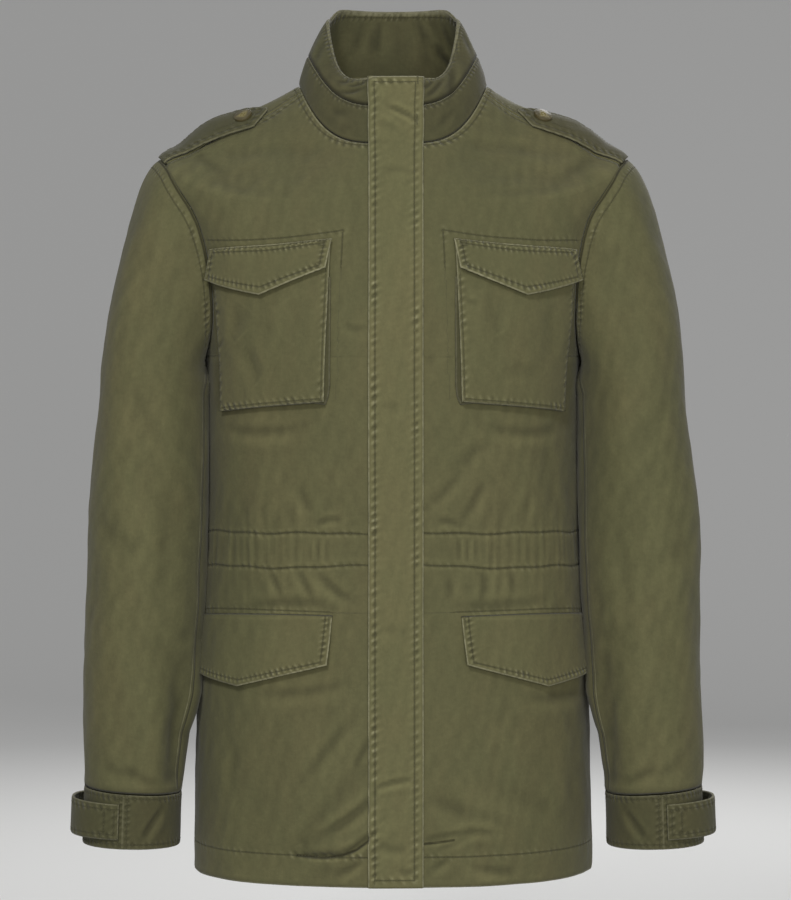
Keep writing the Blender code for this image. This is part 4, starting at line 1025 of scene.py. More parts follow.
def make_seam_wear_and_shade():
    group, (seam, edge, place) = node_group(
        "worn seams", ["Seam", "Edge", "Place"], ["Fade", "Channel", "Height"])
    run, offset, _ = seam.split()
    across = offset.math("ABSOLUTE")
    wander = (run * PUCKER_WANDER[1]).math("SINE") * PUCKER_WANDER[0]
    phase = (run + offset * PUCKER_LEAN) * (math.tau / PUCKER_WAVE) + wander
    least, swing, beat = PUCKER_UNEVEN
    uneven = (run * beat).math("SINE") * swing + least
    wave = phase.math("SINE") * (uneven * place.noise(*PULL_NOISE).fade(*PULL_FADE))
    _, side_of, _ = edge.split()
    inset, turned = side_of.math("ABSOLUTE"), side_of.math("LESS_THAN", 0.0)
    band = (across.fade(PUCKER_REACH, PUCKER_FULL)
            * inset.fade(BAND_END, BAND_START, PUCKER_INSIDE, 1.0))
    pucker = wave * band
    # Painted shade: the channel mask darkens each needle channel, each turned seam's groove and
    # each pucker's hollow.
    groove = inset.fade(GROOVE_WIDTH, CHANNEL_CORE) * turned * GROOVE_SHADE
    channel = across.fade(CHANNEL_WIDTH, CHANNEL_CORE).math("MAXIMUM", groove)
    channel = channel.math("MAXIMUM", pucker.fade(*TICK_FADE) * TICK_SHADE)
    rub = place.noise(*RUB_NOISE)
    worn_edge = inset.fade(*EDGE_FADE) * turned.math("LESS_THAN", 0.5) * rub.fade(*EDGE_RUB)
    crest = pucker.math("MAXIMUM", 0.0) * rub.fade(*CREST_RUB) * CREST_FADE
    wire(group, "NodeGroupOutput", {
        "Fade": worn_edge.math("MAXIMUM", crest), "Channel": channel,
        "Height": pucker * PUCKER_BUMP - channel * CHANNEL_BUMP})
    return group


SEAM_WEAR_AND_SHADE = make_seam_wear_and_shade()
print("pucker wave in millimetres:", PUCKER_WAVE * 1000)

# %% [markdown]
# The three groups come together in one cloth finish. Dye and weave set the colour, worn edges
# and crests go towards the faded olive, and needle channels, turned edges and pucker hollows go
# towards the shadow colour as painted shade. Ridges of the mesh are paler from wear and hollows
# darker as painted shade. Pieces differ in their wear and in a strength of colour that is painted
# light and shade: darker where a piece sits in shade, brighter where it faces the lamps.

# %% Cloth materials
OLIVE_GREEN = (0.102, 0.0985, 0.0435, 1)
OLIVE_BROWN = (0.110, 0.1010, 0.0450, 1)
FADED_OLIVE = (0.290, 0.275, 0.165, 1)
# SEAM_SHADOW is the colour of the painted shade in channels, turned seams and pucker hollows.
SEAM_SHADOW = (0.034, 0.031, 0.012, 1)
DYE_SHADE, WEAVE_SHADE = (0.15, 0.925), (0.16, 0.92)
# Ridges of the mesh go paler as wear, and its hollows go darker as painted shade.
RIDGE_WEAR_AND_SHADE = 0.26
WEAVE_HEIGHT, CRUMPLE_HEIGHT = 0.035, 0.55
CLOTH_ROUGHNESS, WEAVE_ROUGHNESS = 0.82, 0.06
CLOTH_BUMP = (1.0, 0.001)
CLOTH_CONSTANTS = {"Specular IOR Level": 0.25, "Sheen Weight": 0.10, "Sheen Roughness": 0.5}


def new_material(name):
    """A material, its tree and the place on the object that its patterns read."""
    material = bpy.data.materials.new(name)
    material.use_nodes = True
    tree = material.node_tree
    return material, tree, source(tree, "ShaderNodeTexCoord", "Object")


def shade(tree, colour, rough, height, bump, constants):
    """Feed the shader its colour, its roughness and a bump of (strength, distance)."""
    shader = tree.nodes["Principled BSDF"]
    normal = source(tree, "ShaderNodeBump", "Normal", inputs={
        "Height": height, "Strength": bump[0], "Distance": bump[1]})
    for key, value in (("Base Color", colour), ("Roughness", rough), ("Normal", normal)):
        tree.links.new(value.socket, shader.inputs[key])
    for key, number in constants.items():
        shader.inputs[key].default_value = number


def washed_twill(name, strength, worn, channel=0.44):
    """Cloth finish: its strength of colour (painted light and shade for the piece), how worn its
    edges and how dark the painted shade in its channels are.
    """
    material, tree, place = new_material(name)
    cloth_map, seam, edge = (source(tree, "ShaderNodeUVMap", "UV", uv_map=key)
                             for key in ("Weave", "Seam", "Edge"))
    weave = use_group(tree, TWILL_WEAVE, Map=cloth_map)
    dye = use_group(tree, GARMENT_DYE, Place=place)
    seams = use_group(tree, SEAM_WEAR_AND_SHADE, Seam=seam, Edge=edge, Place=place)
    ridge = source(tree, "ShaderNodeAttribute", "Fac", attribute_name="ridge")
    # The tone holds painted shade: the ridge term darkens hollows, and the strength darkens or
    # brightens whole pieces.
    tone = ((dye["Value"] * DYE_SHADE[0] + DYE_SHADE[1])
            * (weave["Shade"] * WEAVE_SHADE[0] + WEAVE_SHADE[1])
            * (ridge * RIDGE_WEAR_AND_SHADE + 1.0) * strength)
    colour = dye["Brown"].blend(OLIVE_GREEN, OLIVE_BROWN)
    colour = (seams["Fade"] * worn).blend(colour, FADED_OLIVE)
    colour = (seams["Channel"] * channel).blend(colour, SEAM_SHADOW)
    height = (weave["Height"] * WEAVE_HEIGHT + seams["Height"]
              + dye["Height"] * CRUMPLE_HEIGHT)
    shade(tree, colour.scale(tone), weave["Shade"] * WEAVE_ROUGHNESS + CLOTH_ROUGHNESS, height,
          CLOTH_BUMP, CLOTH_CONSTANTS)
    return material


# The strengths are painted light and shade: the collar, cuffs, straps and sleeves are darker for
# the shade they sit in or face, and the placket, flaps and pockets are brighter where they face
# the lamps.
TWILL = washed_twill("washed_twill", 1.02, 0.8)
DOUBLED_TWILL = washed_twill("washed_twill_doubled", 1.08, 0.95)
PLACKET_TWILL = washed_twill("washed_twill_placket", 1.22, 0.95)
COLLAR_TWILL = washed_twill("washed_twill_collar", 0.655, 1.0)
CUFF_TWILL = washed_twill("washed_twill_cuff", 0.64, 0.6, channel=0.26)
STRAP_TWILL = washed_twill("washed_twill_strap", 0.67, 0.8, channel=0.28)
SLEEVE_TWILL = washed_twill("washed_twill_sleeve", 0.94, 0.8)
POCKET_TWILL = washed_twill("washed_twill_pocket", 1.05, 0.8, channel=0.36)
print("cloth finishes:", len([m for m in bpy.data.materials if m.name.startswith("washed")]))

# %% [markdown]
# The small parts need only a grain: thread is dull, horn is mottled, the buttons are coloured
# darker towards the rim, the zip's teeth are old brass and its tape is a fine plain weave. The
# grain changes the colour and the roughness together, as real wear does.

# %% Thread, horn and metal
GRAIN_DETAIL = (3.0, 0.6)
GRAIN_ROUGHNESS = 0.16
GRAIN_BUMP = (0.4, 0.0001)


def simple_finish(name, colour, roughness, metallic=0.0, speckle=0.25, scale=900.0, rim=None):
    """A finish with a fine grain; a rim's colour comes in with the mesh's own rim mask."""
    material, tree, place = new_material(name)
    grain = place.noise(scale, *GRAIN_DETAIL)
    dark, light = (tuple(part * share for part in colour) + (1,)
                   for share in (1 - speckle, 1 + speckle))
    tint = grain.blend(dark, light)
    if rim:
        mask = source(tree, "ShaderNodeAttribute", "Fac", attribute_name="rim")
        tint = mask.blend(tint, rim + (1,))
    shade(tree, tint, grain * GRAIN_ROUGHNESS + (roughness - GRAIN_ROUGHNESS / 2), grain,
          GRAIN_BUMP, {"Metallic": metallic})
    return material


THREAD = simple_finish("olive_thread", (0.084, 0.080, 0.038), 0.75)
HORN = simple_finish("olive_horn", (0.235, 0.198, 0.075), 0.36, speckle=0.45, scale=260.0,
                     rim=(0.085, 0.070, 0.030))
ZIP_METAL = simple_finish("old_brass", (0.22, 0.17, 0.09), 0.38, metallic=0.9)
ZIP_TAPE = simple_finish("zip_tape_weave", (0.060, 0.056, 0.030), 0.8, scale=1500.0)
print("small finishes:", [m.name for m in (THREAD, HORN, ZIP_METAL, ZIP_TAPE)])

# %% [markdown]
# ## From a piece of cloth to a mesh
# A piece is a net of points in its own two coordinates. A line on it, such as a row of
# stitching, is traced in the same coordinates and cut into equal steps. For each face the
# nearest line is found with a tree of its points, and the distance from it goes into the maps.

# %% Lines on a piece
LINE_STEP = 0.001
FAR_FROM_SEAMS = 0.03
FLAT_ENOUGH = 0.004
Line = namedtuple("Line", "points tangents normals run")


def running_length(points):
    steps = np.linalg.norm(np.diff(points, axis=0), axis=1)
    return np.concatenate([[0.0], np.cumsum(steps)])


def even_values(path, start, end, step):
    """Values between start and end at which a path is cut into equal steps."""
    fine = np.linspace(start, end, 600)
    run = running_length(path(fine))
    count = max(2, round(run[-1] / step))
    return np.interp(np.linspace(0, run[-1], count + 1), run, fine)


def trace(place, corners, step=LINE_STEP):
    """A line drawn on a piece through corners in its own coordinates."""
    corners = np.asarray(corners, float)
    count = 40 * (len(corners) - 1) + 1 if len(corners) < 20 else 4 * len(corners)
    share = np.linspace(0, len(corners) - 1, count)
    a, b = (np.interp(share, range(len(corners)), corners[:, i]) for i in (0, 1))
    run = running_length(place(a, b, 0.0))
    even = np.linspace(0, run[-1], max(2, round(run[-1] / step)) + 1)
    a, b = np.interp(even, run, a), np.interp(even, run, b)
    points = place(a, b, 0.0)
    normals = unit(place(a, b, 0.001) - points)
    return Line(points, unit(np.gradient(points, axis=0)), normals, even)


def seam_coordinates(lines, corners, centres):
    """Way along and signed distance from the line nearest each centre, for its corners."""
    points, tangents, normals, run = (
        np.concatenate([line[field] for line in lines]) for field in range(4))
    ends = np.concatenate([[True] + [False] * (len(line.run) - 2) + [True] for line in lines])
    tree = kdtree.KDTree(len(points))
    for index, point in enumerate(points):
        tree.insert(point, index)
    tree.balance()
    nearest = np.array([tree.find(centre)[1] for centre in centres])
    offset = corners - points[nearest][:, None]
    sideways = np.cross(normals[nearest], tangents[nearest])[:, None]
    across = (offset * sideways).sum(-1)
    along = (offset * tangents[nearest][:, None]).sum(-1)
    through = np.abs((offset * normals[nearest][:, None]).sum(-1)) - FLAT_ENOUGH
    across = np.copysign(np.hypot(across, np.maximum(through, 0)), across)
    beyond = ends[nearest][:, None] & (np.abs(along) > LINE_STEP)
    across = np.where(beyond, np.copysign(np.linalg.norm(offset, axis=-1), across), across)
    return np.stack([run[nearest][:, None] + along,
                     np.clip(across, -FAR_FROM_SEAMS, FAR_FROM_SEAMS)], axis=-1)


print("line step in millimetres:", LINE_STEP * 1000)

# %% [markdown]
# A row of topstitching is hundreds of small loops of thread. One loop is a low eight-cornered
# grain, and the whole row is joined into a single mesh: every copy is laid on the cloth with
# its own direction and set a little into it.

# %% Stitches
STITCH_PITCH, STITCH_SHARE = 0.0031, 0.80
STITCH_WIDTH, STITCH_HEIGHT = 0.00056, 0.00034
STITCH_SWAY = 0.03
TACK_PITCH, TACK_THREAD, TACK_WIDTH = 0.0006, 0.00062, 0.0022
GRAIN_POINTS = np.array([
    (-0.5, 0, -0.1), (-0.28, -1, -0.1), (-0.28, 0, 1), (-0.28, 1, -0.1),
    (0.28, -1, -0.1), (0.28, 0, 1), (0.28, 1, -0.1), (0.5, 0, -0.1)])
GRAIN_FACES = np.array([
    (0, 1, 2), (0, 2, 3), (0, 3, 1), (1, 4, 5), (1, 5, 2), (2, 5, 6), (2, 6, 3),
    (3, 6, 4), (3, 4, 1), (4, 7, 5), (5, 7, 6), (6, 7, 4)])


def link_mesh(name, points, faces, material, node=None):
    """A mesh of one material that rides on the jacket, and replaces a node if it has one."""
    mesh = bpy.data.meshes.new(name)
    mesh.from_pydata(points, [], faces)
    mesh.materials.append(material)
    piece = bpy.data.objects.new(name, mesh)
    bpy.context.scene.collection.objects.link(piece)
    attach(piece, BODY)
    if node:
        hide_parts(node)
    return piece


def lay_stitches(name, lines, tree, pitch=STITCH_PITCH, width=STITCH_WIDTH, crosswise=0.0):
    """Every stitch of several lines as one mesh, laid on the cloth that the tree holds."""
    random = np.random.default_rng(len(name))
    all_points = []
    for line in lines:
        count = max(1, round(line.run[-1] / pitch))
        middles = (np.arange(count) + 0.5) * line.run[-1] / count
        picks = np.clip(np.searchsorted(line.run, middles), 0, len(line.run) - 1)
        for pick in picks:
            spot, normal, _, _ = tree.find_nearest(Vector(line.points[pick]))
            normal = np.array(normal) * np.sign(np.dot(normal, line.normals[pick]) or 1)
            along = unit(line.tangents[pick] + random.normal(0, STITCH_SWAY, 3))
            side = unit(np.cross(normal, along))
            along = np.cross(side, normal)
            length = pitch * STITCH_SHARE
            if crosswise:
                along, side, length = side, -along, crosswise
            grain = (GRAIN_POINTS[:, :1] * length * along
                     + GRAIN_POINTS[:, 1:2] * width / 2 * side
                     + GRAIN_POINTS[:, 2:] * STITCH_HEIGHT * normal)
            all_points.append(np.array(spot) + grain)
    faces = (np.arange(len(all_points))[:, None, None] * len(GRAIN_POINTS)
             + GRAIN_FACES[None]).reshape(-1, 3)
    stitches = link_mesh(name, np.concatenate(all_points).tolist(), faces.tolist(), THREAD)
    stitches.data.shade_smooth()
    return stitches


print("triangles in one stitch:", len(GRAIN_FACES))

# %% [markdown]
# The next cell turns any piece into cloth. It bends the free edges under, sinks the needle rows
# and lifts the puckers between them, records where the cloth is ridged or hollow so that the
# finish can pale the ridges as wear and darken the hollows as painted shade, fills the maps and
# gives the sheet its thickness inwards.

# %% Cloth pieces
ROLL_REACH = 0.0024
CHANNEL_DEPTH = 0.00018
PUCKER_SURGE = (0.45, 2.3)
RIDGE_SPAN = 2
RIDGE_HEIGHT = 0.0005
Cut = namedtuple("Cut", "width length area")
CUTS = {
    "front": Cut(0.276, 0.764, 0.177),
    "back": Cut(0.635, 0.858, 0.387),
    "collar_stand": Cut(0.620, 0.034, 0.0189),
    "collar_upper": Cut(0.575, 0.037, 0.0176),
    "collar_facing": Cut(0.610, 0.067, 0.0340),
    "storm_flap": Cut(0.053, 0.760, 0.0394),
    "zip_tape": Cut(0.024, 0.745, 0.0178),
    "chest_pocket": Cut(0.130, 0.143, 0.0183),
    "chest_pocket_gusset": Cut(0.337, 0.012, 0.0015),
    "chest_flap": Cut(0.142, 0.039, 0.0051),
    "lower_flap": Cut(0.192, 0.060, 0.0107),
    "sleeve": Cut(0.577, 0.518, 0.202),
    "cuff": Cut(0.324, 0.051, 0.0163),
    "cuff_tab": Cut(0.162, 0.035, 0.0055),
    "epaulette": Cut(0.048, 0.120, 0.0050),
    "neck_seam_allowance": Cut(0.612, 0.012, 0.0041),
    "side_seam_allowance": Cut(0.490, 0.012, 0.0058),
    "shoulder_seam_allowance": Cut(0.148, 0.012, 0.0014),
    "armhole_seam_allowance": Cut(0.592, 0.012, 0.0062),
}


def cut_of(name):
    """Flat size of a piece before it was sewn, the same for left and right."""
    for word in ("_left", "_right", "_cloth"):
        name = name.replace(word, "")
    return CUTS[name]


def pucker_wave(run, across):
    """The leaning wave that thread pulls into cloth along a seam, from -1 to 1."""
    phase = ((run + PUCKER_LEAN * across) * math.tau / PUCKER_WAVE
             + PUCKER_WANDER[0] * np.sin(run * PUCKER_WANDER[1]))
    least, swing, beat = PUCKER_UNEVEN
    size, pace = PUCKER_SURGE
    return (np.sin(phase) * (least + swing * np.sin(run * beat))
            * (1 + size * np.sin(run * pace * beat + 1)))


def grid_normals(points, closed):
    along = np.gradient(points, axis=0)
    if closed:
        around = (np.roll(points, -1, 1) - np.roll(points, 1, 1)) / 2
    else:
        around = np.gradient(points, axis=1)
    return unit(np.cross(around, along))


def ridges(points, normals, closed):
    """How far each point stands out from its neighbours, as -1 to 1."""
    if closed:
        wide = np.concatenate([points[:, -RIDGE_SPAN:], points, points[:, :RIDGE_SPAN]], axis=1)
    else:
        wide = np.pad(points, ((0, 0), (RIDGE_SPAN, RIDGE_SPAN), (0, 0)), mode="edge")
    tall = np.pad(points, ((RIDGE_SPAN, RIDGE_SPAN), (0, 0), (0, 0)), mode="edge")
    beside = (wide[:, :-2 * RIDGE_SPAN] + wide[:, 2 * RIDGE_SPAN:]) / 2
    above = (tall[:-2 * RIDGE_SPAN] + tall[2 * RIDGE_SPAN:]) / 2
    stand = ((points - (beside + above) / 2) * normals).sum(-1)
    stand[:RIDGE_SPAN] = 0
    stand[-RIDGE_SPAN:] = 0
    if not closed:
        stand[:, :RIDGE_SPAN] = 0
        stand[:, -RIDGE_SPAN:] = 0
    return np.clip(stand / RIDGE_HEIGHT, -1, 1)


def face_corners(grid):
    """The four corners of every square of a grid of values."""
    return np.stack([grid[:-1, :-1], grid[:-1, 1:], grid[1:, 1:], grid[1:, :-1]], axis=2)


def net_faces(rows, columns, closed):
    """Four-cornered faces of a net of points."""
    index = np.arange(rows * columns).reshape(rows, columns)
    if closed:
        index = np.concatenate([index, index[:, :1]], axis=1)
    return face_corners(index).reshape(-1, 4)


def cloth_map(points, closed):
    """Across and up the cloth in metres, for every corner of every face."""
    if closed:
        points = np.concatenate([points, points[:, :1]], axis=1)
    across = np.cumsum(np.linalg.norm(np.diff(points, axis=1), axis=2), axis=1)
    across = np.pad(across, ((0, 0), (1, 0)))
    across = across - across[:, -1:] / 2
    up = np.cumsum(np.linalg.norm(np.diff(points, axis=0), axis=2), axis=0)
    up = np.pad(up, ((1, 0), (0, 0))).mean(axis=1, keepdims=True) + 0 * across
    return face_corners(np.stack([across, up], axis=-1)).reshape(-1, 4, 2)


def edge_distance(worn, turned, corners, centres):
    """Distance from the nearest edge, below zero where that edge is turned into a seam."""
    far = np.full(corners.shape[:2], FAR_FROM_SEAMS)
    near_worn, near_turned = (
        np.abs(seam_coordinates(lines, corners, centres)[..., 1]) if lines else far
        for lines in (worn, turned))
    sewn = near_turned.mean(axis=1, keepdims=True) < near_worn.mean(axis=1, keepdims=True)
    return np.where(sewn, -near_turned, near_worn)


def make_cloth(node, place, rows, columns, finish, name=None, wall=CLOTH, edges=(),
               turned=(), seams=(), tacks=(), closed=False, roll=0.0006, pucker=0.0002,
               pitch=STITCH_PITCH, wave=PUCKER_WAVE, rub=1.0):
    """A piece of cloth through a net of places, with its worn edges and rows of stitching."""
    name = name or node + "_cloth"
    points = place(rows, columns, 0.0)
    normals = grid_normals(points, closed)
    middle = tuple(size // 2 for size in rows.shape)
    outside = place(rows[middle], columns[middle], 0.001) - points[middle]
    flipped = float(np.dot(normals[middle], np.ravel(outside))) < 0
    normals = -normals if flipped else normals
    flat = points.reshape(-1, 3)
    lift = np.zeros(len(flat))
    inset = np.full(len(flat), FAR_FROM_SEAMS)
    if edges or turned:
        inset = np.abs(edge_distance(edges, turned, flat[:, None], flat)[:, 0])
        lift -= roll * np.clip(1 - inset / ROLL_REACH, 0, 1) ** 2
    if seams:
        run, across = seam_coordinates(seams, flat[:, None], flat)[:, 0].T
        run = run * PUCKER_WAVE / wave
        band = np.interp(inset, (BAND_START, BAND_END), (1, PUCKER_INSIDE))
        lift += pucker * pucker_wave(run, across) * band * np.exp(-(across / PUCKER_REACH) ** 2)
        lift -= CHANNEL_DEPTH * np.exp(-(across / CHANNEL_WIDTH) ** 2)
    points = points + normals * lift.reshape(rows.shape)[..., None]
    flat = points.reshape(-1, 3)
    faces = net_faces(*rows.shape, closed)
    corner_maps = {"Weave": cloth_map(points, closed)}
    centres = flat[faces].mean(axis=1)
    corner_maps["Seam"] = np.full((len(faces), 4, 2), FAR_FROM_SEAMS)
    if seams:
        corner_maps["Seam"] = (seam_coordinates(seams, flat[faces], centres)
                               * (PUCKER_WAVE / wave, 1))
    corner_maps["Edge"] = np.zeros((len(faces), 4, 2))
    corner_maps["Edge"][..., 1] = edge_distance(edges, turned, flat[faces], centres) / rub
    order = [3, 2, 1, 0] if flipped else [0, 1, 2, 3]
    piece = link_mesh(name, flat.tolist(), faces[:, order].tolist(), finish, node)
    mesh = piece.data
    for key, values in corner_maps.items():
        mesh.uv_layers.new(name=key).data.foreach_set("uv", values[:, order].ravel())
    stand = mesh.attributes.new("ridge", "FLOAT", "POINT")
    stand.data.foreach_set("value", ridges(points, normals, closed).ravel())
    mesh.shade_smooth()
    thickness = piece.modifiers.new("cloth thickness", "SOLIDIFY")
    thickness.thickness = wall
    thickness.offset = -1
    tree = bvhtree.BVHTree.FromPolygons(flat.tolist(), faces.tolist())
    sewn = [lay_stitches(name + "_stitching", seams, tree, pitch)] if seams and pitch else []
    if tacks:
        sewn.append(lay_stitches(name + "_bartacks", tacks, tree, TACK_PITCH, TACK_THREAD,
                                 TACK_WIDTH))
    cut = cut_of(name)
    area = sum(polygon.area for polygon in mesh.polygons)
    print(f"{name}: {len(faces)} faces, {area:.4f} m2 from a cut of {cut.area} m2")
    return piece


def net(rows, columns):
    """Two arrays that give every place of a net its row and its column."""
    return np.meshgrid(rows, columns, indexing="ij")


print("cloth is ready to be cut")

# %% [markdown]
# ## Fronts and back
# Each front runs from the placket to the side seam, up round the armhole and along the shoulder
# to the neck. Its rows are placed where the outline turns: closely up the armhole, at even steps
# elsewhere, and on both sides of each stitched line.

# %% Fronts
SIDES = ((1, "left"), (-1, "right"))
SHOULDER_SEAM = math.radians(72.5)
SIDE_SEAM_GAP = 0.0015
SHOULDER_SEAM_GAP = 0.006
FRONT_EDGE = 0.0012
BODY_STEP = 0.0029
FRONT_COLUMNS = 100
PLACKET_CLOSENESS = 0.25
SEAM_OFFSETS = (-0.0026, -0.0013, 0.0, 0.0013, 0.0026)
FOLDED_HEM, HEM_STEP = (-0.733, -0.698), 0.0013
SHOULDER_ROW_START = 13.75
SHOULDER_SEAM_INSET, NECK_SEAM_BELOW = 0.0065, 0.20
ARMHOLE_STEP, SHOULDER_STEP = 0.0028, 0.0032
LEAST_ROW_STEP = 0.008


def edge_angle(row, x):
    """Angle at which the skin is a distance x to the side of the centre front."""
    row = np.asarray(row, float)
    body = between(BODY_RINGS, np.minimum(row, NECK_ROW))
    tier = np.clip(row - NECK_ROW, 0, 2)
    widths = (BODY_RINGS[-1].half_width,) + tuple(r.half_width for r in COLLAR_RINGS)
    full = (BODY_RINGS[-1].fullness,) + tuple(r.fullness for r in COLLAR_RINGS)
    width = np.where(row > NECK_ROW, np.interp(tier, (0, 1, 2), widths), body[..., 3])
    fullness = np.where(row > NECK_ROW, np.interp(tier, (0, 1, 2), full), body[..., 6])
    return np.sign(x) * np.arcsin(np.clip(np.abs(x) / width, 0, 1) ** (fullness / 2))


def armhole_edge(rows, behind):
    """Angle of the armhole at each row, on the front or behind the shoulder seam."""
    places = np.linspace(ARMHOLE_TOP, len(ARMHOLE) if behind else 0, 400)
    edge_rows, edge_angles = armhole_row_angle(places)
    order = np.argsort(edge_rows)
    return np.interp(rows, edge_rows[order], edge_angles[order])


def body_rows():
    """Rows for the fronts and the back, from hem to neck."""
    side = math.radians(60)
    rows = [even_values(lambda r: body_skin(r, np.full(r.shape, side)), 0, UNDERARM_ROW,
                        BODY_STEP)]
    places = even_values(lambda p: body_skin(*armhole_row_angle(p)), 0, ARMHOLE_TOP,
                         ARMHOLE_STEP)
    rows.append(armhole_row_angle(places)[0])
    rows.append(even_values(lambda r: body_skin(r, np.full(r.shape, SHOULDER_SEAM)),
                            ARMHOLE[ARMHOLE_TOP][0], NECK_ROW, SHOULDER_STEP))
    hem_z = [ring.front_z for ring in BODY_RINGS[:3]]
    rows.append(np.interp(np.arange(*FOLDED_HEM, HEM_STEP), hem_z, range(3)))
    for seam_row in (HEM_ROW,) + CASING_ROWS:
        per_row = abs(between(BODY_RINGS, seam_row + 0.1)[0]
                      - between(BODY_RINGS, seam_row - 0.1)[0]) / 0.2
        rows.append(seam_row + np.array(SEAM_OFFSETS) / per_row)
    rows = np.sort(np.concatenate(rows))
    keep = np.concatenate([[True], np.diff(rows) > LEAST_ROW_STEP])
    rows = rows[keep]
    rows[-1] = NECK_ROW
    return rows


BODY_ROWS = body_rows()


def front_outer_angle(row):
    """Angle where a front ends: the side seam, the armhole or the shoulder seam."""
    side = SIDE_SEAM - SIDE_SEAM_GAP
    sleeve = np.minimum(armhole_edge(row, behind=False), side)
    return np.where(row <= UNDERARM_ROW, side,
                    np.where(row < ARMHOLE[ARMHOLE_TOP][0], sleeve, SHOULDER_SEAM))


SEWN_ON_FRONTS = (
    ((9.85, 0.1883), (10.16, 0.118), (10.40, 0.0463), (9.65, 0.0479)),
    ((4.405, 0.2325), (4.440, 0.190), (4.457, 0.147), (4.455, 0.100), (4.445, 0.059)),
)
PRESSED_CREASES = {
    -1: (((1.30, 0.0175), (1.09, 0.0340), (0.985, 0.0470), (0.930, 0.0630), (0.943, 0.0920)),),
    1: (((1.19, 0.0290), (1.21, 0.0420), (1.24, 0.0560)),),
}


def level_line(row, arcs):
    return np.stack([np.full(len(arcs), float(row)), arcs], axis=1)


def make_front(side, word):
    first = arc_at(BODY_ROWS, edge_angle(BODY_ROWS, FRONT_EDGE))
    last = arc_at(BODY_ROWS, front_outer_angle(BODY_ROWS))
    share = np.linspace(0, 1, FRONT_COLUMNS + 1)
    share = share * (1 - PLACKET_CLOSENESS) + share ** 2 * PLACKET_CLOSENESS
    arcs = side * (first[:, None] + (last - first)[:, None] * share)
    rows = BODY_ROWS[:, None] + 0 * arcs
    across = np.linspace(0.01, 0.995, 90)

    def level(row):
        start, end = np.interp(row, BODY_ROWS, first), np.interp(row, BODY_ROWS, last)
        line = level_line(row, side * (start + (end - start) * across))
        if row in CASING_ROWS:
            line[:, 0] += casing_sway(row, line[:, 1]) / CASING_ROW_HEIGHT
        return trace(on_body, line)

    hem, low_casing, high_casing = (level(row) for row in (HEM_ROW,) + CASING_ROWS)
    shoulder_rows = np.linspace(ARMHOLE[ARMHOLE_TOP][0] + 0.2, NECK_ROW, 40)
    shoulder = np.interp(shoulder_rows, BODY_ROWS, last)
    neck_arcs = np.linspace(0.012, last[-1], 60) * side
    seams = [hem, low_casing, high_casing,
             trace(on_body, np.stack([shoulder_rows, side * (shoulder - SHOULDER_SEAM_INSET)],
                                     axis=1)
                   [shoulder_rows > SHOULDER_ROW_START]),
             trace(on_body, level_line(NECK_ROW - NECK_SEAM_BELOW, neck_arcs))]
    seams += [trace(on_body, np.array(corners) * (1, side)) for corners in SEWN_ON_FRONTS]
    edges = [trace(on_body, level_line(0, side * (first[0] + (last[0] - first[0]) * across))),
             trace(on_body, np.stack([shoulder_rows, side * shoulder], axis=1)),
             trace(on_body, level_line(NECK_ROW, neck_arcs))]
    pressed = [trace(on_body, np.array(corners) * (1, side))
               for corners in PRESSED_CREASES[side]]
    make_cloth("front_" + word, on_body, rows, arcs, TWILL, edges=edges,
               turned=pressed, seams=seams, roll=0.0004, pucker=0.00016)


for side, word in SIDES:
    make_front(side, word)

# %% [markdown]
# The photograph doesn't show the back, so it is finished plainly: one piece with the casing's
# rows carried on round it, its hem, the neck seam and a topstitched line beside each side seam.

# %% Back
BACK_COLUMNS = 150
SIDE_SEAM_INSET, BACK_SHOULDER_INSET = 0.005, 0.004


def back_outer_angle(row):
    side = SIDE_SEAM + SIDE_SEAM_GAP
    top = SHOULDER_SEAM + SHOULDER_SEAM_GAP
    sleeve = np.maximum(armhole_edge(row, behind=True), top)
    return np.where(row <= UNDERARM_ROW, side,
                    np.where(row < ARMHOLE[ARMHOLE_TOP][0], sleeve, top))


def on_back(row, from_back, out=0.0):
    """Point on the back by row and distance round from the centre back."""
    half_round = arc_at(row, np.full(np.shape(row), math.pi))
    angle = angle_at(row, half_round - np.abs(from_back)) * np.where(from_back < 0, -1, 1)
    return jacket_point(row, angle, out)


def make_back():
    reach = arc_at(BODY_ROWS, math.pi) - arc_at(BODY_ROWS, back_outer_angle(BODY_ROWS))
    share = np.linspace(1, -1, BACK_COLUMNS + 1)
    from_back = reach[:, None] * share
    rows = BODY_ROWS[:, None] + 0 * from_back
    across = np.linspace(-0.995, 0.995, 160)

    def level(row):
        return trace(on_back, level_line(row, np.interp(row, BODY_ROWS, reach) * across))

    def upright(side, start, end, count, inset):
        """The line inside one of the back's sides, from one row to another."""
        up = np.linspace(start, end, count)
        return trace(on_back, np.stack(
            [up, side * (np.interp(up, BODY_ROWS, reach) - inset)], axis=1))

    edges = [level(0.0), level(NECK_ROW)]
    seams = [level(row) for row in (HEM_ROW,) + CASING_ROWS + (NECK_ROW - NECK_SEAM_BELOW,)]
    for side, _ in SIDES:
        seams += [upright(side, 0.05, UNDERARM_ROW - 0.05, 60, SIDE_SEAM_INSET),
                  upright(side, ARMHOLE[ARMHOLE_TOP][0] + 0.1, NECK_ROW - 0.1, 30,
                          BACK_SHOULDER_INSET)]
    make_cloth("back", on_back, rows, from_back, TWILL, edges=edges, seams=seams,
               roll=0.0004, pucker=0.00012)


make_back()

# %% [markdown]
# ## Collar
# The stand and the upper collar are two bands that meet at the middle seam, where the upper one
# is turned under and stitched. The upper edge is a fold, worn paler than anything else.

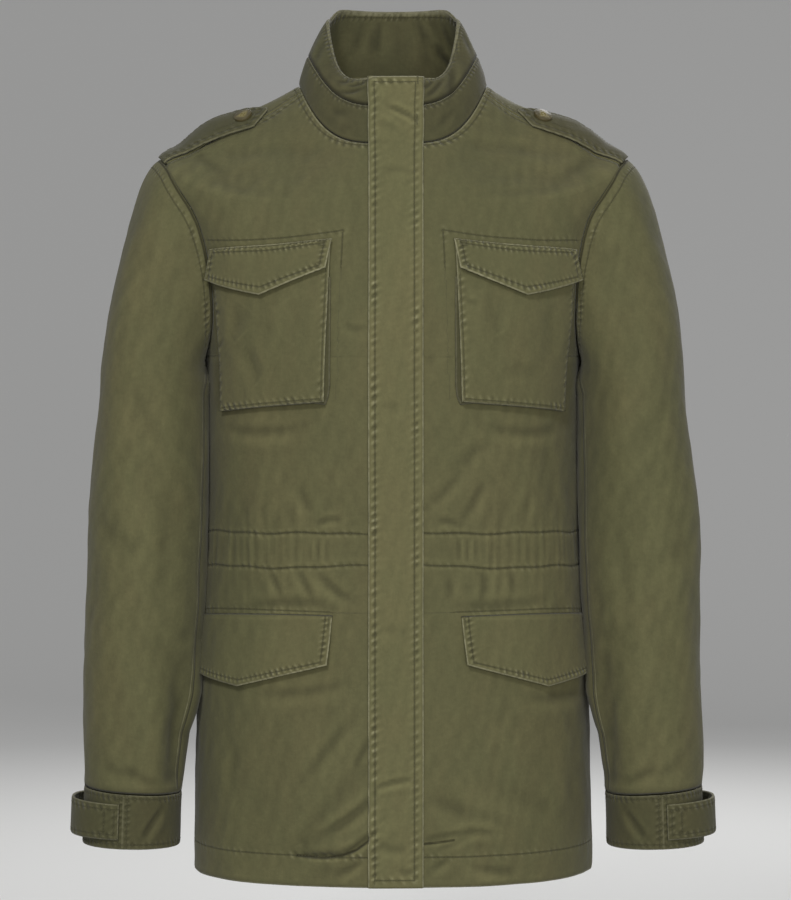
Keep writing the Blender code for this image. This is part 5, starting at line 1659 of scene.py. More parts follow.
# %% Collar
COLLAR_FRONT_GAP = 0.0016
COLLAR_COLUMNS = 190
COLLAR_ROWS = 24
RIM_RUB = 3.3
FINE_WAVE = 0.0062
CollarBand = namedtuple("CollarBand", "node low high seam rub")
COLLAR_BANDS = (CollarBand("collar_stand", 0.012, 0.992, 0.925, 0.7),
                CollarBand("collar_upper", 1.002, 2.0, 1.875, RIM_RUB))


def collar_round(tier):
    start = edge_angle(NECK_ROW + tier, COLLAR_FRONT_GAP)
    return np.linspace(start, math.tau - start, COLLAR_COLUMNS + 1)


def make_collar_band(band):
    tiers = np.linspace(band.low, band.high, COLLAR_ROWS + 1)
    angles = np.array([collar_round(tier) for tier in tiers])
    rows = tiers[:, None] + 0 * angles

    def level(tier):
        return trace(on_collar, level_line(tier, collar_round(tier)[1:-1]))

    make_cloth(band.node, on_collar, rows, angles, COLLAR_TWILL,
               edges=[level(band.high)], turned=[level(band.low)], seams=[level(band.seam)],
               roll=0.0009, pucker=0.00030, wave=FINE_WAVE, rub=band.rub)


for band in COLLAR_BANDS:
    make_collar_band(band)

# %% [markdown]
# ## Storm flap and zip
# The flap covers the zip from the hem to the top of the collar. It is sewn down along the
# wearer's left, where it lies flat, and held by hidden snaps on the other side, so its free edge
# stands a little proud and is the most puckered edge of the jacket.

# %% Storm flap
FLAP_EDGES = (-0.0225, 0.0282)
FLAP_TOP = 16.97
FLAP_GAP = 0.0010
FLAP_COLUMNS = 30
FLAP_SEAM_INSETS = (0.0062, 0.0085)
FLAP_SEAM_ENDS = (0.36, 0.23)
FLAP_CORNER, CORNER_ROWS = 0.006, 0.12
FLAP_PITCH = 0.0021
SETTLE_DEPTH, SETTLE_START, SETTLE_WIDTH = 0.0006, 0.016, 0.012
FLAP_FOLDS = folds(
    (-4, -33, 8, -36, 21, -45, 2.8, -1.7),
    (-16, -40, -2, -44, 10, -52, 4, 0.7),
    (-12, -94, 4, -91, 18, -96, 4, -0.5),
    (-20, -664, -4, -656, 21, -654, 2.8, -1.2),
    (-14, -712, 0, -722, 14, -716, 5, -1),
    (4, -736, 12, -742, 20, -738, 4, -0.8),
    (-12, -310, 0, -316, 12, -311, 6, -0.5),
    (-16, -520, 0, -515, 14, -522, 6, -0.6),
)
FLAP_TACKS = (((16.62, 0.0215), (16.95, 0.0215)), ((15.42, 0.0215), (15.72, 0.0215)))
SNAP_X, SNAP_Z, SNAP_RADIUS, SNAP_HEIGHT = -0.0085, -0.020, 0.0062, 0.0005


def flap_place(row, x, out=0.0):
    """Point on the storm flap by row and distance to the side of the centre front."""
    row, x = arrays(row, x)
    angle = edge_angle(row, x)
    z = jacket_skin(row, angle)[..., 2]
    settle = SETTLE_DEPTH * np.clip((x - SETTLE_START) / SETTLE_WIDTH, 0, 1)
    from_snap = np.hypot(x - SNAP_X, z - SNAP_Z) / SNAP_RADIUS
    snap = SNAP_HEIGHT * np.exp(-from_snap ** 4)
    own = fold_height(FLAP_FOLDS, x, z) + snap - settle
    return jacket_point(row, angle, DOUBLE_CLOTH + FLAP_GAP + own + out)


def centre_rows(start, end, step):
    """Rows at even steps up the centre front."""
    return even_values(lambda row: jacket_skin(row, np.zeros(row.shape)), start, end, step)


def make_storm_flap():
    low, high = FLAP_EDGES
    row_net, x_net = net(centre_rows(0.0, FLAP_TOP, FLAP_PITCH),
                         np.linspace(low, high, FLAP_COLUMNS + 1))
    left, right = low + FLAP_SEAM_INSETS[0], high - FLAP_SEAM_INSETS[1]
    bottom, top = FLAP_SEAM_ENDS[0], FLAP_TOP - FLAP_SEAM_ENDS[1]
    loop = [(0.0, low), (FLAP_TOP - CORNER_ROWS, low), (FLAP_TOP, low + FLAP_CORNER),
            (FLAP_TOP, high), (0.0, high)]
    seams = [trace(flap_place, [(bottom, left), (top, left), (top, right)]),
             trace(flap_place, [(top, right), (bottom, right), (bottom, left)])]
    make_cloth("storm_flap", flap_place, row_net, x_net, PLACKET_TWILL,
               wall=DOUBLE_CLOTH, edges=[trace(flap_place, loop)], seams=seams,
               tacks=[trace(flap_place, corners) for corners in FLAP_TACKS], roll=0.0009,
               pucker=0.00034)


make_storm_flap()

# %% [markdown]
# Behind the flap a zip closes the fronts. Its tape is a narrow plain strip behind their edges,
# and its teeth are one bevelled block, modelled once and copied up the tape, every other one a
# little to the other side as they are when the zip is shut.

# %% Zip
ZIP_HALF_TAPE, ZIP_WALL, ZIP_COLUMNS = 0.0120, 0.0006, 9
ZIP_START, ZIP_TOP, ZIP_ROW_STEP = 0.35, 16.80, 0.004
ZIP_DEPTH = CLOTH + 0.0014 + ZIP_WALL
TOOTH_PITCH = 0.0024
TOOTH_SIZE, TOOTH_BEVEL = (0.0022, 0.0012, 0.0008), 0.0002
TOOTH_SHIFT, TOOTH_OUT, TEETH_INSET = 0.0009, 0.0007, 0.1


def zip_place(row, x, out=0.0):
    return jacket_point(row, edge_angle(row, x), out - ZIP_DEPTH)


def make_zip():
    row_net, x_net = net(centre_rows(ZIP_START, ZIP_TOP, ZIP_ROW_STEP),
                         np.linspace(-ZIP_HALF_TAPE, ZIP_HALF_TAPE, ZIP_COLUMNS))
    make_cloth("front_zip", zip_place, row_net, x_net, ZIP_TAPE, name="zip_tape",
               wall=ZIP_WALL, pitch=0)
    line = trace(zip_place, [(ZIP_START + TEETH_INSET, 0.0), (ZIP_TOP - TEETH_INSET, 0.0)],
                 TOOTH_PITCH)
    deselect_all()
    bpy.ops.mesh.primitive_cube_add(size=1)
    tooth = bpy.context.object
    bpy.ops.object.mode_set(mode="EDIT")
    bpy.ops.transform.resize(value=TOOTH_SIZE)
    bpy.ops.mesh.bevel(offset=TOOTH_BEVEL, segments=1, affect="EDGES")
    bpy.ops.object.mode_set(mode="OBJECT")
    shape = np.array([vertex.co for vertex in tooth.data.vertices])
    faces = [np.array(polygon.vertices) for polygon in tooth.data.polygons]
    bpy.data.objects.remove(tooth, do_unlink=True)
    points, polygons = [], []
    for index, (spot, up, normal) in enumerate(zip(line.points, line.tangents, line.normals)):
        shift = TOOTH_SHIFT if index % 2 else -TOOTH_SHIFT
        placed = ((shape[:, :1] + shift) * np.cross(up, normal) + shape[:, 1:2] * up
                  + (shape[:, 2:] + TOOTH_OUT) * normal)
        polygons += [(face + index * len(shape)).tolist() for face in faces]
        points.append(spot + placed)
    link_mesh("zip_teeth", np.concatenate(points).tolist(), polygons, ZIP_METAL)
    print("zip teeth:", len(points))


make_zip()

# %% [markdown]
# ## Chest pockets
# A chest pocket is a flat face that stands off the front on a folded gusset, so it can grow
# when it is filled. The face keeps its own soft folds, and its edge is folded and rubbed.

# %% Chest pockets
Spot = namedtuple("Spot", "row arc")
PocketFace = namedtuple("PocketFace", "top_inner top_outer low_inner low_outer waist_outer")
CHEST_POCKET = PocketFace(
    Spot(10.06, 0.0575), Spot(9.60, 0.1815), Spot(7.55, 0.0620), Spot(7.45, 0.1790), 0.1840)
POCKET_RISE_INNER, POCKET_RISE_OUTER, POCKET_TOP_RISE = 0.0090, 0.0064, 0.0030
RISE_POWER, POCKET_CROWN = 0.75, 0.0010
POCKET_LOOP = ((0.0, 0.0), (0.0, 1.0), (1.0, 1.0), (1.0, 0.0))
POCKET_SEAM = ((0.022, 0.25), (0.022, 0.985), (0.978, 0.985), (0.978, 0.25))
GUSSET_PATH = ((0.0, 0.24), (0.0, 1.0), (1.0, 1.0), (1.0, 0.36))
GUSSET_STEPS, GUSSET_TURN = 180, 40
GUSSET_WALL, GUSSET_TALL = 0.0010, 0.006
GUSSET_FOOT, GUSSET_BELLY, GUSSET_TUCK = 0.0050, 0.62, 0.0012
GUSSET_HIDDEN = 0.12
ROW_HEIGHT = 0.070
SEAM_GAP = 0.0004
POCKET_FOLDS = {
    1: (Fold((0.30, 0.30), (0.22, 0.50), (0.30, 0.62), 0.080, -0.0015),
        Fold((0.70, 0.35), (0.78, 0.55), (0.72, 0.72), 0.090, -0.0014),
        Fold((0.30, 0.86), (0.50, 0.78), (0.68, 0.84), 0.045, -0.0008),
        Fold((0.04, 0.40), (0.10, 0.42), (0.16, 0.40), 0.025, -0.0006)),
    -1: (Fold((0.66, 0.36), (0.76, 0.50), (0.70, 0.60), 0.085, -0.0017),
         Fold((0.70, 0.66), (0.60, 0.78), (0.54, 0.88), 0.060, -0.0015),
         Fold((0.24, 0.34), (0.20, 0.52), (0.30, 0.66), 0.085, -0.0014),
         Fold((0.90, 0.40), (0.95, 0.41), (0.99, 0.40), 0.022, -0.0007),
         Fold((0.90, 0.60), (0.95, 0.62), (0.99, 0.62), 0.022, -0.0008)),
}
POCKET_COLUMNS, POCKET_ROWS = 62, 88


def mix(a, b, part):
    return a + (b - a) * part


def pocket_rise(across, down):
    """Height of the pocket's outer face over the panel, across 0 (centre) to 1, down 0 to 1."""
    low = mix(POCKET_RISE_INNER, POCKET_RISE_OUTER, across)
    return POCKET_TOP_RISE + (low - POCKET_TOP_RISE) * np.clip(down, 0, 1) ** RISE_POWER


def pocket_spot(across, down):
    """Row and distance round of a place on the pocket's face."""
    cut = CHEST_POCKET
    row = mix(mix(cut.top_inner.row, cut.top_outer.row, across),
              mix(cut.low_inner.row, cut.low_outer.row, across), down)
    inner = mix(cut.top_inner.arc, cut.low_inner.arc, down)
    outer = mix(cut.top_outer.arc, cut.low_outer.arc, down)
    belly = (cut.waist_outer - (cut.top_outer.arc + cut.low_outer.arc) / 2) * 4
    outer = outer + belly * down * (1 - down)
    return row, mix(inner, outer, across)


def pocket_place(side):
    def place(across, down, out=0.0):
        across, down = arrays(across, down)
        row, arc = pocket_spot(across, down)
        middle = np.sin(math.pi * np.clip(across, 0, 1)) * np.sin(math.pi * np.clip(down, 0, 1))
        own = fold_height(POCKET_FOLDS[side], across, down) + POCKET_CROWN * middle
        return on_body(row, arc * side, pocket_rise(across, down) + own + out)
    return place


def make_pocket_face(side, word):
    place = pocket_place(side)
    down, across = net(np.linspace(0, 1, POCKET_ROWS + 1), np.linspace(0, 1, POCKET_COLUMNS + 1))
    make_cloth("chest_pocket_" + word, place, across, down, POCKET_TWILL,
               edges=[trace(place, POCKET_LOOP)], seams=[trace(place, POCKET_SEAM)],
               roll=0.0008, pucker=0.00018)


def make_gusset(side, word):
    """The folded strip round the pocket's three lower edges."""
    share = np.linspace(0, 3, GUSSET_STEPS + 1)
    across, down = (np.interp(share, range(4), line) for line in zip(*GUSSET_PATH))
    top = pocket_rise(across, down) - CLOTH - SEAM_GAP
    foot = np.full(len(share), GUSSET_WALL + LAY_GAP)
    tall = np.clip((top - foot) / GUSSET_TALL, 0.25, 1)

    def place(level, number, out=0.0):
        level, number = arrays(level, number)
        a, d = np.interp(number, share, across), np.interp(number, share, down)
        low, high = np.interp(number, share, foot), np.interp(number, share, top)
        spread = GUSSET_FOOT * np.interp(number, share, tall) * np.interp(
            number, (0.9, 1.1), (1, GUSSET_HIDDEN))
        beside = np.interp(level, (0, 0.5, 1), (1, GUSSET_BELLY, 0)) * spread - GUSSET_TUCK * level
        row, arc = pocket_spot(a, d)
        outer = np.clip((number - 2) * GUSSET_TURN, 0, 1)
        inner = np.clip((1 - number) * GUSSET_TURN, 0, 1)
        under = np.clip(np.minimum(number - 1, 2 - number) * GUSSET_TURN + 1, 0, 1)
        arc = arc + beside * (outer - inner)
        row = row - beside * under / ROW_HEIGHT
        return on_body(row, arc * side, mix(low, np.maximum(high, low + 0.0002), level) + out)

    level, number = net(np.linspace(0, 1, 7), share)
    # The gusset takes the darker cuff finish as painted shade beside the pocket's face.
    make_cloth("chest_pocket_gusset_" + word, place, level, number, CUFF_TWILL,
               wall=GUSSET_WALL, edges=[trace(place, [(0.0, 0.0), (0.0, 3.0)])], roll=0.0,
               pucker=0.0)


for side, word in SIDES:
    make_pocket_face(side, word)
    make_gusset(side, word)

# %% [markdown]
# ## Pocket flaps
# The chest flaps have a sewn top edge and a blunt point that reaches over the pocket; the lower
# flaps come out of a welt. Both are two layers of cloth, turned and topstitched a needle's
# breadth inside the edge, with the thickest puckers in the band between.

# %% Pocket flaps
FlapCut = namedtuple("FlapCut", "top_inner top_outer low_inner peak low_outer bow")
CHEST_FLAP = FlapCut(
    Spot(10.20, 0.0560), Spot(9.72, 0.1830), Spot(9.60, 0.0605), Spot(9.10, 0.1224),
    Spot(9.24, 0.1880), 0.05)
LOWER_FLAPS = {
    1: FlapCut(Spot(4.40, 0.0632), Spot(4.36, 0.2310), Spot(3.80, 0.0678), Spot(3.45, 0.1480),
               Spot(3.65, 0.2430), 0.03),
    -1: FlapCut(Spot(4.41, 0.0556), Spot(4.35, 0.2290), Spot(3.80, 0.0600), Spot(3.45, 0.1490),
                Spot(3.65, 0.2410), 0.03),
}
CHEST_FLAP_LIFT, LOWER_FLAP_LIFT = 0.0022, 0.0024
FLAP_INSET = 0.0066
FLAP_CURL = 0.0024
FLAP_WAVE, FLAP_WAVE_BEATS = 0.0005, (19, 3)
FLAP_UNDER, FLAP_TOP_SEAM = 0.06, 0.035
FLAP_PUCKER, FLAP_PUCKER_WAVE = 0.00034, 0.0058
FLAP_BARTACKS = {
    True: (((0.09, 0.030), (0.09, 0.085)), ((0.20, 0.030), (0.20, 0.085))),
    False: (((0.02, 0.016), (0.24, 0.016)),),
}
FLAP_NET_COLUMNS, FLAP_NET_ROWS = 90, 34


def chest_flap_lift(row, arc, down):
    """The chest flap lies on the pocket's face and is sewn flat along its top."""
    cut = CHEST_POCKET
    across = np.clip((arc - cut.top_inner.arc) / (cut.top_outer.arc - cut.top_inner.arc), 0, 1)
    top_row = mix(cut.top_inner.row, cut.top_outer.row, across)
    low_row = mix(cut.low_inner.row, cut.low_outer.row, across)
    over_face = pocket_rise(across, (top_row - row) / (top_row - low_row))
    return over_face + DOUBLE_CLOTH + LAY_GAP + CHEST_FLAP_LIFT * down


def lower_flap_lift(row, arc, down):
    return DOUBLE_CLOTH + LAY_GAP + LOWER_FLAP_LIFT * down + 0 * arc


def flap_on(cut, side, lift):
    """A function that gives points on a flap by how far down and how far across it is."""
    peak = (cut.peak.arc - cut.low_inner.arc) / (cut.low_outer.arc - cut.low_inner.arc)

    def place(down, across, out=0.0):
        down, across = arrays(down, across)
        top_row = (mix(cut.top_inner.row, cut.top_outer.row, across)
                   + cut.bow * 4 * across * (1 - across))
        low_row = np.interp(across, (0, peak, 1),
                            (cut.low_inner.row, cut.peak.row, cut.low_outer.row))
        row = mix(top_row, low_row, down)
        arc = mix(mix(cut.top_inner.arc, cut.top_outer.arc, across),
                  mix(cut.low_inner.arc, cut.low_outer.arc, across), down)
        beat, skew = FLAP_WAVE_BEATS
        wave = np.sin(across * beat + down * skew) * down * np.sin(math.pi * down)
        soft = FLAP_WAVE * wave + FLAP_CURL * down ** 3
        return on_body(row, arc * side, lift(row, arc, down) + soft + out)
    return place, peak


def flap_inset_line(place, peak, inset, with_top):
    """The stitched line that runs a fixed distance inside the flap's edge."""
    height = running_length(place(np.linspace(0, 1, 30), np.full(30, 0.5)))[-1]
    width = running_length(place(np.full(60, 0.5), np.linspace(0, 1, 60)))[-1]
    side, end = inset / width, inset / height
    top = end if with_top else 0.02
    line = [(top, side), (1 - end, side), (1 - end, peak), (1 - end, 1 - side), (top, 1 - side)]
    return trace(place, line + line[:1] if with_top else line)


def make_flap(name, cut, side, lift, with_top):
    place, peak = flap_on(cut, side, lift)
    across = np.sort(np.append(np.linspace(0, 1, FLAP_NET_COLUMNS), peak))
    down, across = net(np.linspace(0, 1, FLAP_NET_ROWS + 1), across)
    start = 0.0 if with_top else FLAP_UNDER
    loop = [(start, 0.0), (1.0, 0.0), (1.0, peak), (1.0, 1.0), (start, 1.0)]
    edges = [trace(place, loop + loop[:1] if with_top else loop)]
    turned = () if with_top else [trace(place, [(0.0, 0.0), (0.0, 1.0)])]
    seams = [flap_inset_line(place, peak, FLAP_INSET, with_top)]
    if with_top:
        seams.append(trace(place, [(FLAP_TOP_SEAM, 0.02), (FLAP_TOP_SEAM, 0.98)]))
    make_cloth(name, place, down, across, DOUBLED_TWILL, wall=DOUBLE_CLOTH,
               edges=edges, turned=turned, seams=seams, roll=0.0009, pucker=FLAP_PUCKER,
               tacks=[trace(place, ends) for ends in FLAP_BARTACKS[with_top]],
               wave=FLAP_PUCKER_WAVE)


for side, word in SIDES:
    make_flap("chest_flap_" + word, CHEST_FLAP, side, chest_flap_lift, True)
    make_flap("lower_flap_" + word, LOWER_FLAPS[side], side, lower_flap_lift, False)

# %% [markdown]
# ## Sleeves, cuffs and tabs
# The sleeve hangs from the armhole in an easy curve. A band as wide as a finger is topstitched
# round the armhole on the sleeve's side, and its puckers are among the first things one sees.
# The cuff is a double band, and its tab starts in a sewn box and bows out round the outer side.

# %% Sleeves
SLEEVE_COLUMNS, CUFF_COLUMNS, CUFF_ROWS = 112, 150, 24
CAP_STEP, ARM_STEP = 0.0034, 0.0036
ARMHOLE_BAND, ARMHOLE_CLOSE = 0.0105, 0.0016
SLEEVE_SEAM_TURN, SLEEVE_SEAM_RUB = 0.045, 0.0032
CUFF_SEAM_ROWS, CUFF_SEAM_ENDS = (5.09, 5.87), (5.04, 5.98)
CUFF_SEAM_TURNS, CUFF_EDGE_TURN = (0.249, 0.272), 0.258
AROUND = np.linspace(0, 1, 180)


def row_below_armhole(place, turns, distance):
    """Sleeve row that lies a distance below the armhole at each turn."""
    fine = np.linspace(-1, 0, 60)
    return np.array([np.interp(distance, running_length(place(fine, np.full(60, turn))), fine)
                     for turn in turns])


def make_sleeve(side, word):
    place = on_sleeve(side)

    def outer_rows(start, end, step):
        return even_values(lambda row: sleeve_skin(row, np.full(row.shape, 0.5)), start, end,
                           step)

    cap = outer_rows(-1, 0, CAP_STEP)
    cap = np.concatenate([cap[:1], [-0.992, -0.984, -0.976], cap[cap > -0.97]])
    arm = outer_rows(0, SLEEVE_SEAM_ROW, ARM_STEP)
    rows, turns = net(np.concatenate([cap, arm[1:]]), np.arange(SLEEVE_COLUMNS) / SLEEVE_COLUMNS)
    band, close = (
        trace(place, np.stack([row_below_armhole(place, AROUND, distance), AROUND], axis=1))
        for distance in (ARMHOLE_BAND, ARMHOLE_CLOSE))
    inner_rows = np.linspace(-0.9, SLEEVE_SEAM_ROW - 0.03, 60)
    along = np.stack([inner_rows, np.full(60, SLEEVE_SEAM_TURN)], axis=1)
    beside = along + np.array([0, SLEEVE_SEAM_RUB / SLEEVE_GIRTH])
    make_cloth("sleeve_" + word, place, rows, turns, SLEEVE_TWILL, closed=True,
               edges=[trace(place, beside)], seams=[band],
               turned=[close, trace(place, along),
                       trace(place, level_line(SLEEVE_SEAM_ROW, AROUND))],
               roll=0.0004, pucker=0.00036, wave=FINE_WAVE)


def make_cuff(side, word):
    place = on_sleeve(side)

    def round_line(row):
        return trace(place, level_line(row, AROUND))

    def upright(turn):
        return trace(place, [(row, turn) for row in CUFF_SEAM_ENDS])

    rows, turns = net(np.linspace(CUFF_TOP_ROW, CUFF_END_ROW, CUFF_ROWS + 1),
                      np.arange(CUFF_COLUMNS) / CUFF_COLUMNS)
    make_cloth("cuff_" + word, place, rows, turns, CUFF_TWILL, wall=DOUBLE_CLOTH,
               edges=[round_line(CUFF_TOP_ROW), round_line(CUFF_END_ROW),
                      upright(CUFF_EDGE_TURN)],
               seams=([round_line(row) for row in CUFF_SEAM_ROWS]
                      + [upright(turn) for turn in CUFF_SEAM_TURNS]),
               closed=True, roll=0.0004, pucker=0.00014, wave=FINE_WAVE)


# %% [markdown]
# The tab is a straight two-layer strap. Both its ends are caught on the cuff, and because the
# cuff is drawn in under it, its middle bows away round the outer side.

# %% Cuff tabs
TAB_TURNS = (0.27, 0.70)
TAB_ROWS = (5.19, 5.77)
TAB_BULGE, BULGE_POWER = 0.0088, 1.2
TAB_SEAM_ROWS, TAB_SEAM_END, TAB_BOX = 0.09, 0.03, 0.10


def make_cuff_tab(side, word):
    sleeve = on_sleeve(side)

    def place(row, share, out=0.0):
        row, share = arrays(row, share)
        bow = TAB_BULGE * np.sin(math.pi * np.clip(share, 0, 1)) ** BULGE_POWER
        return sleeve(row, mix(*TAB_TURNS, share), DOUBLE_CLOTH + LAY_GAP + bow + out)

    rows, shares = net(np.linspace(*TAB_ROWS, 19), np.linspace(0, 1, 90))
    low, high = TAB_ROWS

    def loop(rows_in, ends_in):
        start, end = low + rows_in, high - rows_in
        return trace(place, [(start, ends_in), (start, 1 - ends_in), (end, 1 - ends_in),
                             (end, ends_in), (start, ends_in)])

    box = [(low + TAB_SEAM_ROWS, TAB_BOX), (high - TAB_SEAM_ROWS, TAB_BOX)]
    make_cloth("cuff_tab_" + word, place, rows, shares, STRAP_TWILL,
               wall=DOUBLE_CLOTH, edges=[loop(0, 0.0)],
               seams=[loop(TAB_SEAM_ROWS, TAB_SEAM_END), trace(place, box)], roll=0.0008,
               pucker=0.00022)


for side, word in SIDES:
    make_sleeve(side, word)
    make_cuff(side, word)
    make_cuff_tab(side, word)

# %% [markdown]
# ## Seam allowances
# Inside the jacket each seam has its two raw edges folded back behind it. They close the hair
# line between two pieces, so that no light comes through. Each is a narrow strip behind its
# seam, laid by the same rules as the pieces in front.

# %% Seam allowances
ALLOWANCE_DEPTH = CLOTH + 0.0007
ALLOWANCE_WALL = 0.0009
ARMHOLE_ALLOWANCE, ALLOWANCE_COLUMNS = (-0.004, 0.007), 140
FACING_GAP = 0.0004
FACING_TIERS, FACING_ROWS, FACING_SEAM = (0.05, 1.985), 44, 1.83


def make_allowance(name, place, levels, numbers, closed=False):
    """A strip behind a seam: levels go across it and numbers along it."""
    level, number = net(levels, numbers)
    make_cloth(None, place, level, number, TWILL, name=name, wall=ALLOWANCE_WALL,
               closed=closed)


def behind_seam(row, angle, out=0.0):
    return jacket_point(row, angle, out - ALLOWANCE_DEPTH)


def behind_upright_seam(angle, spread):
    def place(level, row, out=0.0):
        return behind_seam(row, angle + spread * level, out)
    return place


def behind_armhole(side):
    def edge(turn, out):
        row, angle = armhole_row_angle(np.mod(turn, 1) * len(ARMHOLE))
        return jacket_point(row, angle * side, out)

    def place(level, turn, out=0.0):
        level, turn = arrays(level, turn)
        spot = edge(turn, out - ALLOWANCE_DEPTH)
        along = edge(turn + 0.004, 0.0) - edge(turn - 0.004, 0.0)
        away = unit(np.cross(along, edge(turn, 0.002) - edge(turn, 0.0))) * side
        return spot + away * mix(*ARMHOLE_ALLOWANCE, level)[..., None]
    return place


def make_facing():
    """The collar's inner face: one band from the neck seam to the rim."""
    def place(tier, angle, out=0.0):
        return on_collar(tier, angle, out - CLOTH - FACING_GAP)

    tiers = np.linspace(*FACING_TIERS, FACING_ROWS)
    angles = np.array([collar_round(tier)[::2] for tier in tiers])
    rows = tiers[:, None] + 0 * angles
    rim, row = (level_line(tier, collar_round(tier)[1:-1])
                for tier in (FACING_TIERS[1], FACING_SEAM))
    # The darker collar finish is painted shade inside the collar.
    facing = make_cloth(None, place, rows, angles, COLLAR_TWILL, name="collar_facing",
                        wall=ALLOWANCE_WALL, seams=[trace(place, row)],
                        edges=[trace(place, rim)], pucker=0.00024, wave=FINE_WAVE, pitch=0,
                        rub=RIM_RUB)
    faces = [list(polygon.vertices) for polygon in facing.data.polygons]
    inner = [Vector(spot) for spot in place(rows, angles, -ALLOWANCE_WALL).reshape(-1, 3)]
    seam = trace(lambda tier, angle, out: place(tier, angle, -ALLOWANCE_WALL - out), row)
    lay_stitches("collar_facing_stitching", [seam], bvhtree.BVHTree.FromPolygons(inner, faces))


make_allowance("neck_seam_allowance", behind_seam, np.linspace(14.93, 15.14, 5),
               np.linspace(0.03, math.tau - 0.03, 160))
make_facing()
for side, word in SIDES:
    make_allowance("side_seam_allowance_" + word, behind_upright_seam(side * SIDE_SEAM, side),
                   np.linspace(-0.028, 0.028, 4), np.linspace(0.02, UNDERARM_ROW, 120))
    make_allowance("shoulder_seam_allowance_" + word,
                   behind_upright_seam(side * SHOULDER_SEAM, side),
                   np.linspace(-0.03, 0.04, 4), np.linspace(11.2, NECK_ROW - 0.02, 60))
    make_allowance("armhole_seam_allowance_" + word, behind_armhole(side),
                   np.linspace(0, 1, 4), np.arange(ALLOWANCE_COLUMNS) / ALLOWANCE_COLUMNS,
                   closed=True)

# %% [markdown]
# ## Epaulettes and buttons
# The strap is caught in the armhole seam and buttoned near the neck. Its edges are turned, worn
# and stitched like the flaps, and it bridges the shoulder a little, so its front edge throws a
# deep shadow.

# %% Epaulettes
EPAULETTE_ROWS = (11.20, 14.05)
EPAULETTE_HALF_WIDTH = 0.0225
EPAULETTE_SHIFT = (-0.018, -0.031)
EPAULETTE_POINT = 0.86
EPAULETTE_TAPER = (1, 0.94, 0.10)
EPAULETTE_LIFT = 0.0026
BUTTONHOLE = ((0.58, -0.44), (0.75, -0.40))


def shoulder_point(row, from_ridge, side, out):
    """Point near the shoulder ridge, a distance behind it (or before it where negative)."""
    ridge = arc_at(row, np.full(np.shape(row), SIDE_SEAM))
    return on_body(row, (ridge + from_ridge) * side, out)


def epaulette_centre(part):
    return mix(*EPAULETTE_SHIFT, part)


def epaulette_lift(part):
    return DOUBLE_CLOTH + LAY_GAP + EPAULETTE_LIFT * np.sin(math.pi * np.clip(part, 0, 1))


def make_epaulette(side, word):
    def place(part, share, out=0.0):
        part, share = arrays(part, share)
        taper = np.interp(part, (0, EPAULETTE_POINT, 1), EPAULETTE_TAPER)
        across = share * EPAULETTE_HALF_WIDTH * taper + epaulette_centre(part)
        return shoulder_point(mix(*EPAULETTE_ROWS, part), across, side,
                              epaulette_lift(part) + out)

    parts, shares = net(np.linspace(0, 1, 86), np.linspace(-1, 1, 31))
    tip = EPAULETTE_POINT
    loop = [(0.0, -1.0), (tip, -1.0), (1.0, -1.0), (1.0, 1.0), (tip, 1.0), (0.0, 1.0)]
    inset = [(0.02, -0.76), (tip - 0.02, -0.76), (0.955, -0.1), (0.955, 0.1),
             (tip - 0.02, 0.76), (0.02, 0.76)]
    make_cloth("epaulette_" + word, place, parts, shares, STRAP_TWILL,
               wall=DOUBLE_CLOTH, edges=[trace(place, loop)], seams=[trace(place, inset)],
               tacks=[trace(place, BUTTONHOLE)], roll=0.0009, pucker=0.00026)


for side, word in SIDES:
    make_epaulette(side, word)

# %% [markdown]
# The button is horn with a raised rim, a dished middle and four holes. It is turned from a disc
# by insetting and pushing its top face, its edges are rounded with a bevel and the holes are cut
# by four rods. One button is made and copied, and each copy is laid on its strap.

# %% Buttons
BUTTON_ROW = 13.55
BUTTON_RADIUS, BUTTON_THICKNESS = 0.0090, 0.0030
BUTTON_CLEAR, BUTTON_FORWARD = 0.0009, 0.0025
BUTTON_RINGS = ((0.0007, 0.0002), (0.0011, 0.0), (0.0009, -0.0009), (0.0028, -0.0002))
BUTTON_ROUNDING = 0.0003
HOLE_RADIUS, HOLE_SPREAD = 0.0009, 0.0019
RIM_START, RIM_WIDTH = 0.45, 0.4


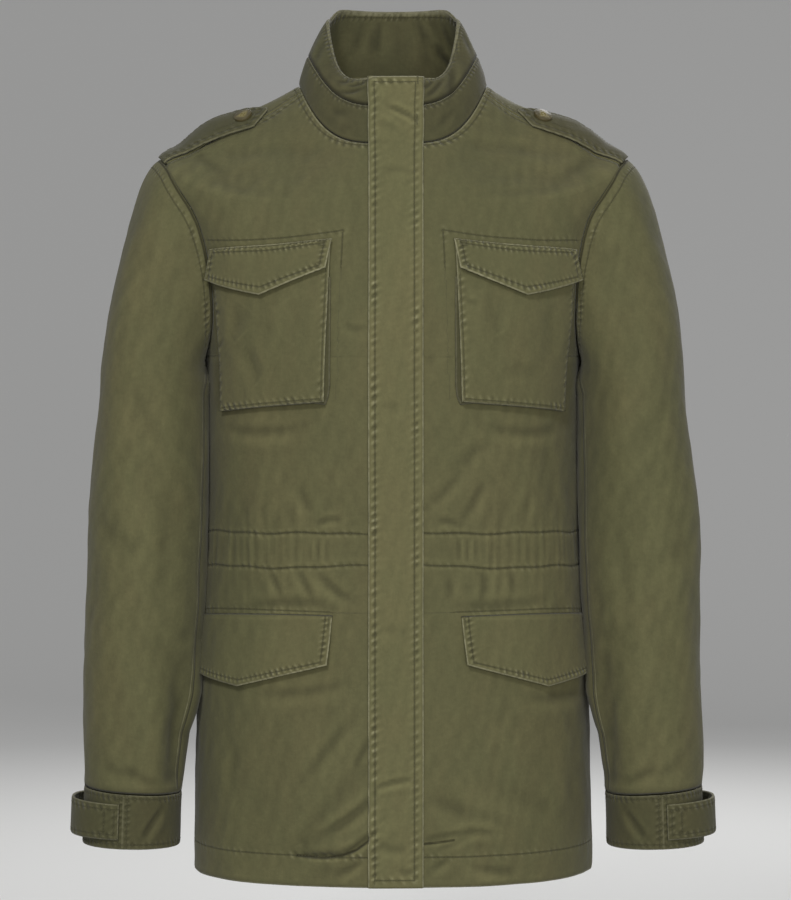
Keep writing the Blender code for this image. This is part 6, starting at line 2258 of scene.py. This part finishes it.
def make_button():
    deselect_all()
    bpy.ops.mesh.primitive_cylinder_add(
        vertices=48, radius=BUTTON_RADIUS, depth=BUTTON_THICKNESS,
        location=(0, 0, BUTTON_THICKNESS / 2))
    button = bpy.context.object
    bpy.ops.object.transform_apply(location=True)
    for polygon in button.data.polygons:
        polygon.select = polygon.normal.z > 0.9
    bpy.ops.object.mode_set(mode="EDIT")
    bpy.ops.mesh.select_mode(type="FACE")
    for inset, push in BUTTON_RINGS:
        bpy.ops.mesh.inset(thickness=inset)
        bpy.ops.transform.translate(value=(0, 0, push))
    bpy.ops.object.mode_set(mode="OBJECT")
    rounding = button.modifiers.new("rounded edges", "BEVEL")
    rounding.width = BUTTON_ROUNDING
    rounding.segments = 2
    rounding.limit_method = "ANGLE"
    bpy.ops.object.modifier_apply(modifier=rounding.name)
    for quarter in range(4):
        turn = math.tau * (quarter + 0.5) / 4
        deselect_all()
        bpy.ops.mesh.primitive_cylinder_add(
            vertices=16, radius=HOLE_RADIUS, depth=4 * BUTTON_THICKNESS,
            location=(HOLE_SPREAD * math.cos(turn), HOLE_SPREAD * math.sin(turn), 0))
        rod = bpy.context.object
        cut = button.modifiers.new("hole", "BOOLEAN")
        cut.object = rod
        cut.operation = "DIFFERENCE"
        deselect_all()
        bpy.context.view_layer.objects.active = button
        bpy.ops.object.modifier_apply(modifier=cut.name)
        bpy.data.objects.remove(rod, do_unlink=True)
    deselect_all()
    button.select_set(True)
    bpy.context.view_layer.objects.active = button
    bpy.ops.object.shade_smooth_by_angle(angle=math.radians(40))
    reach = np.array([math.hypot(*vertex.co[:2]) for vertex in button.data.vertices])
    mask = button.data.attributes.new("rim", "FLOAT", "POINT")
    mask.data.foreach_set("value", np.clip((reach / BUTTON_RADIUS - RIM_START) / RIM_WIDTH,
                                             0, 1))
    button.data.materials.append(HORN)
    return button


def lay_button(master, side, word):
    part = (BUTTON_ROW - EPAULETTE_ROWS[0]) / (EPAULETTE_ROWS[1] - EPAULETTE_ROWS[0])
    row, shift = np.array([BUTTON_ROW]), np.array([epaulette_centre(part) - BUTTON_FORWARD])
    lift = epaulette_lift(part) + BUTTON_CLEAR
    spot = shoulder_point(row, shift, side, lift)[0]
    above = shoulder_point(row, shift, side, lift + BUTTON_RADIUS)[0]
    turn = Vector(above - spot).to_track_quat("Z", "Y").to_matrix().to_4x4()
    mesh = master.data.copy()
    mesh.transform(Matrix.Translation(spot) @ turn)
    button = bpy.data.objects.new("epaulette_button_" + word + "_horn", mesh)
    bpy.context.scene.collection.objects.link(button)
    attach(button, BODY)
    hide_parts("epaulette_button_" + word)


master_button = make_button()
print("button faces:", len(master_button.data.polygons))
for side, word in SIDES:
    lay_button(master_button, side, word)
bpy.data.objects.remove(master_button, do_unlink=True)
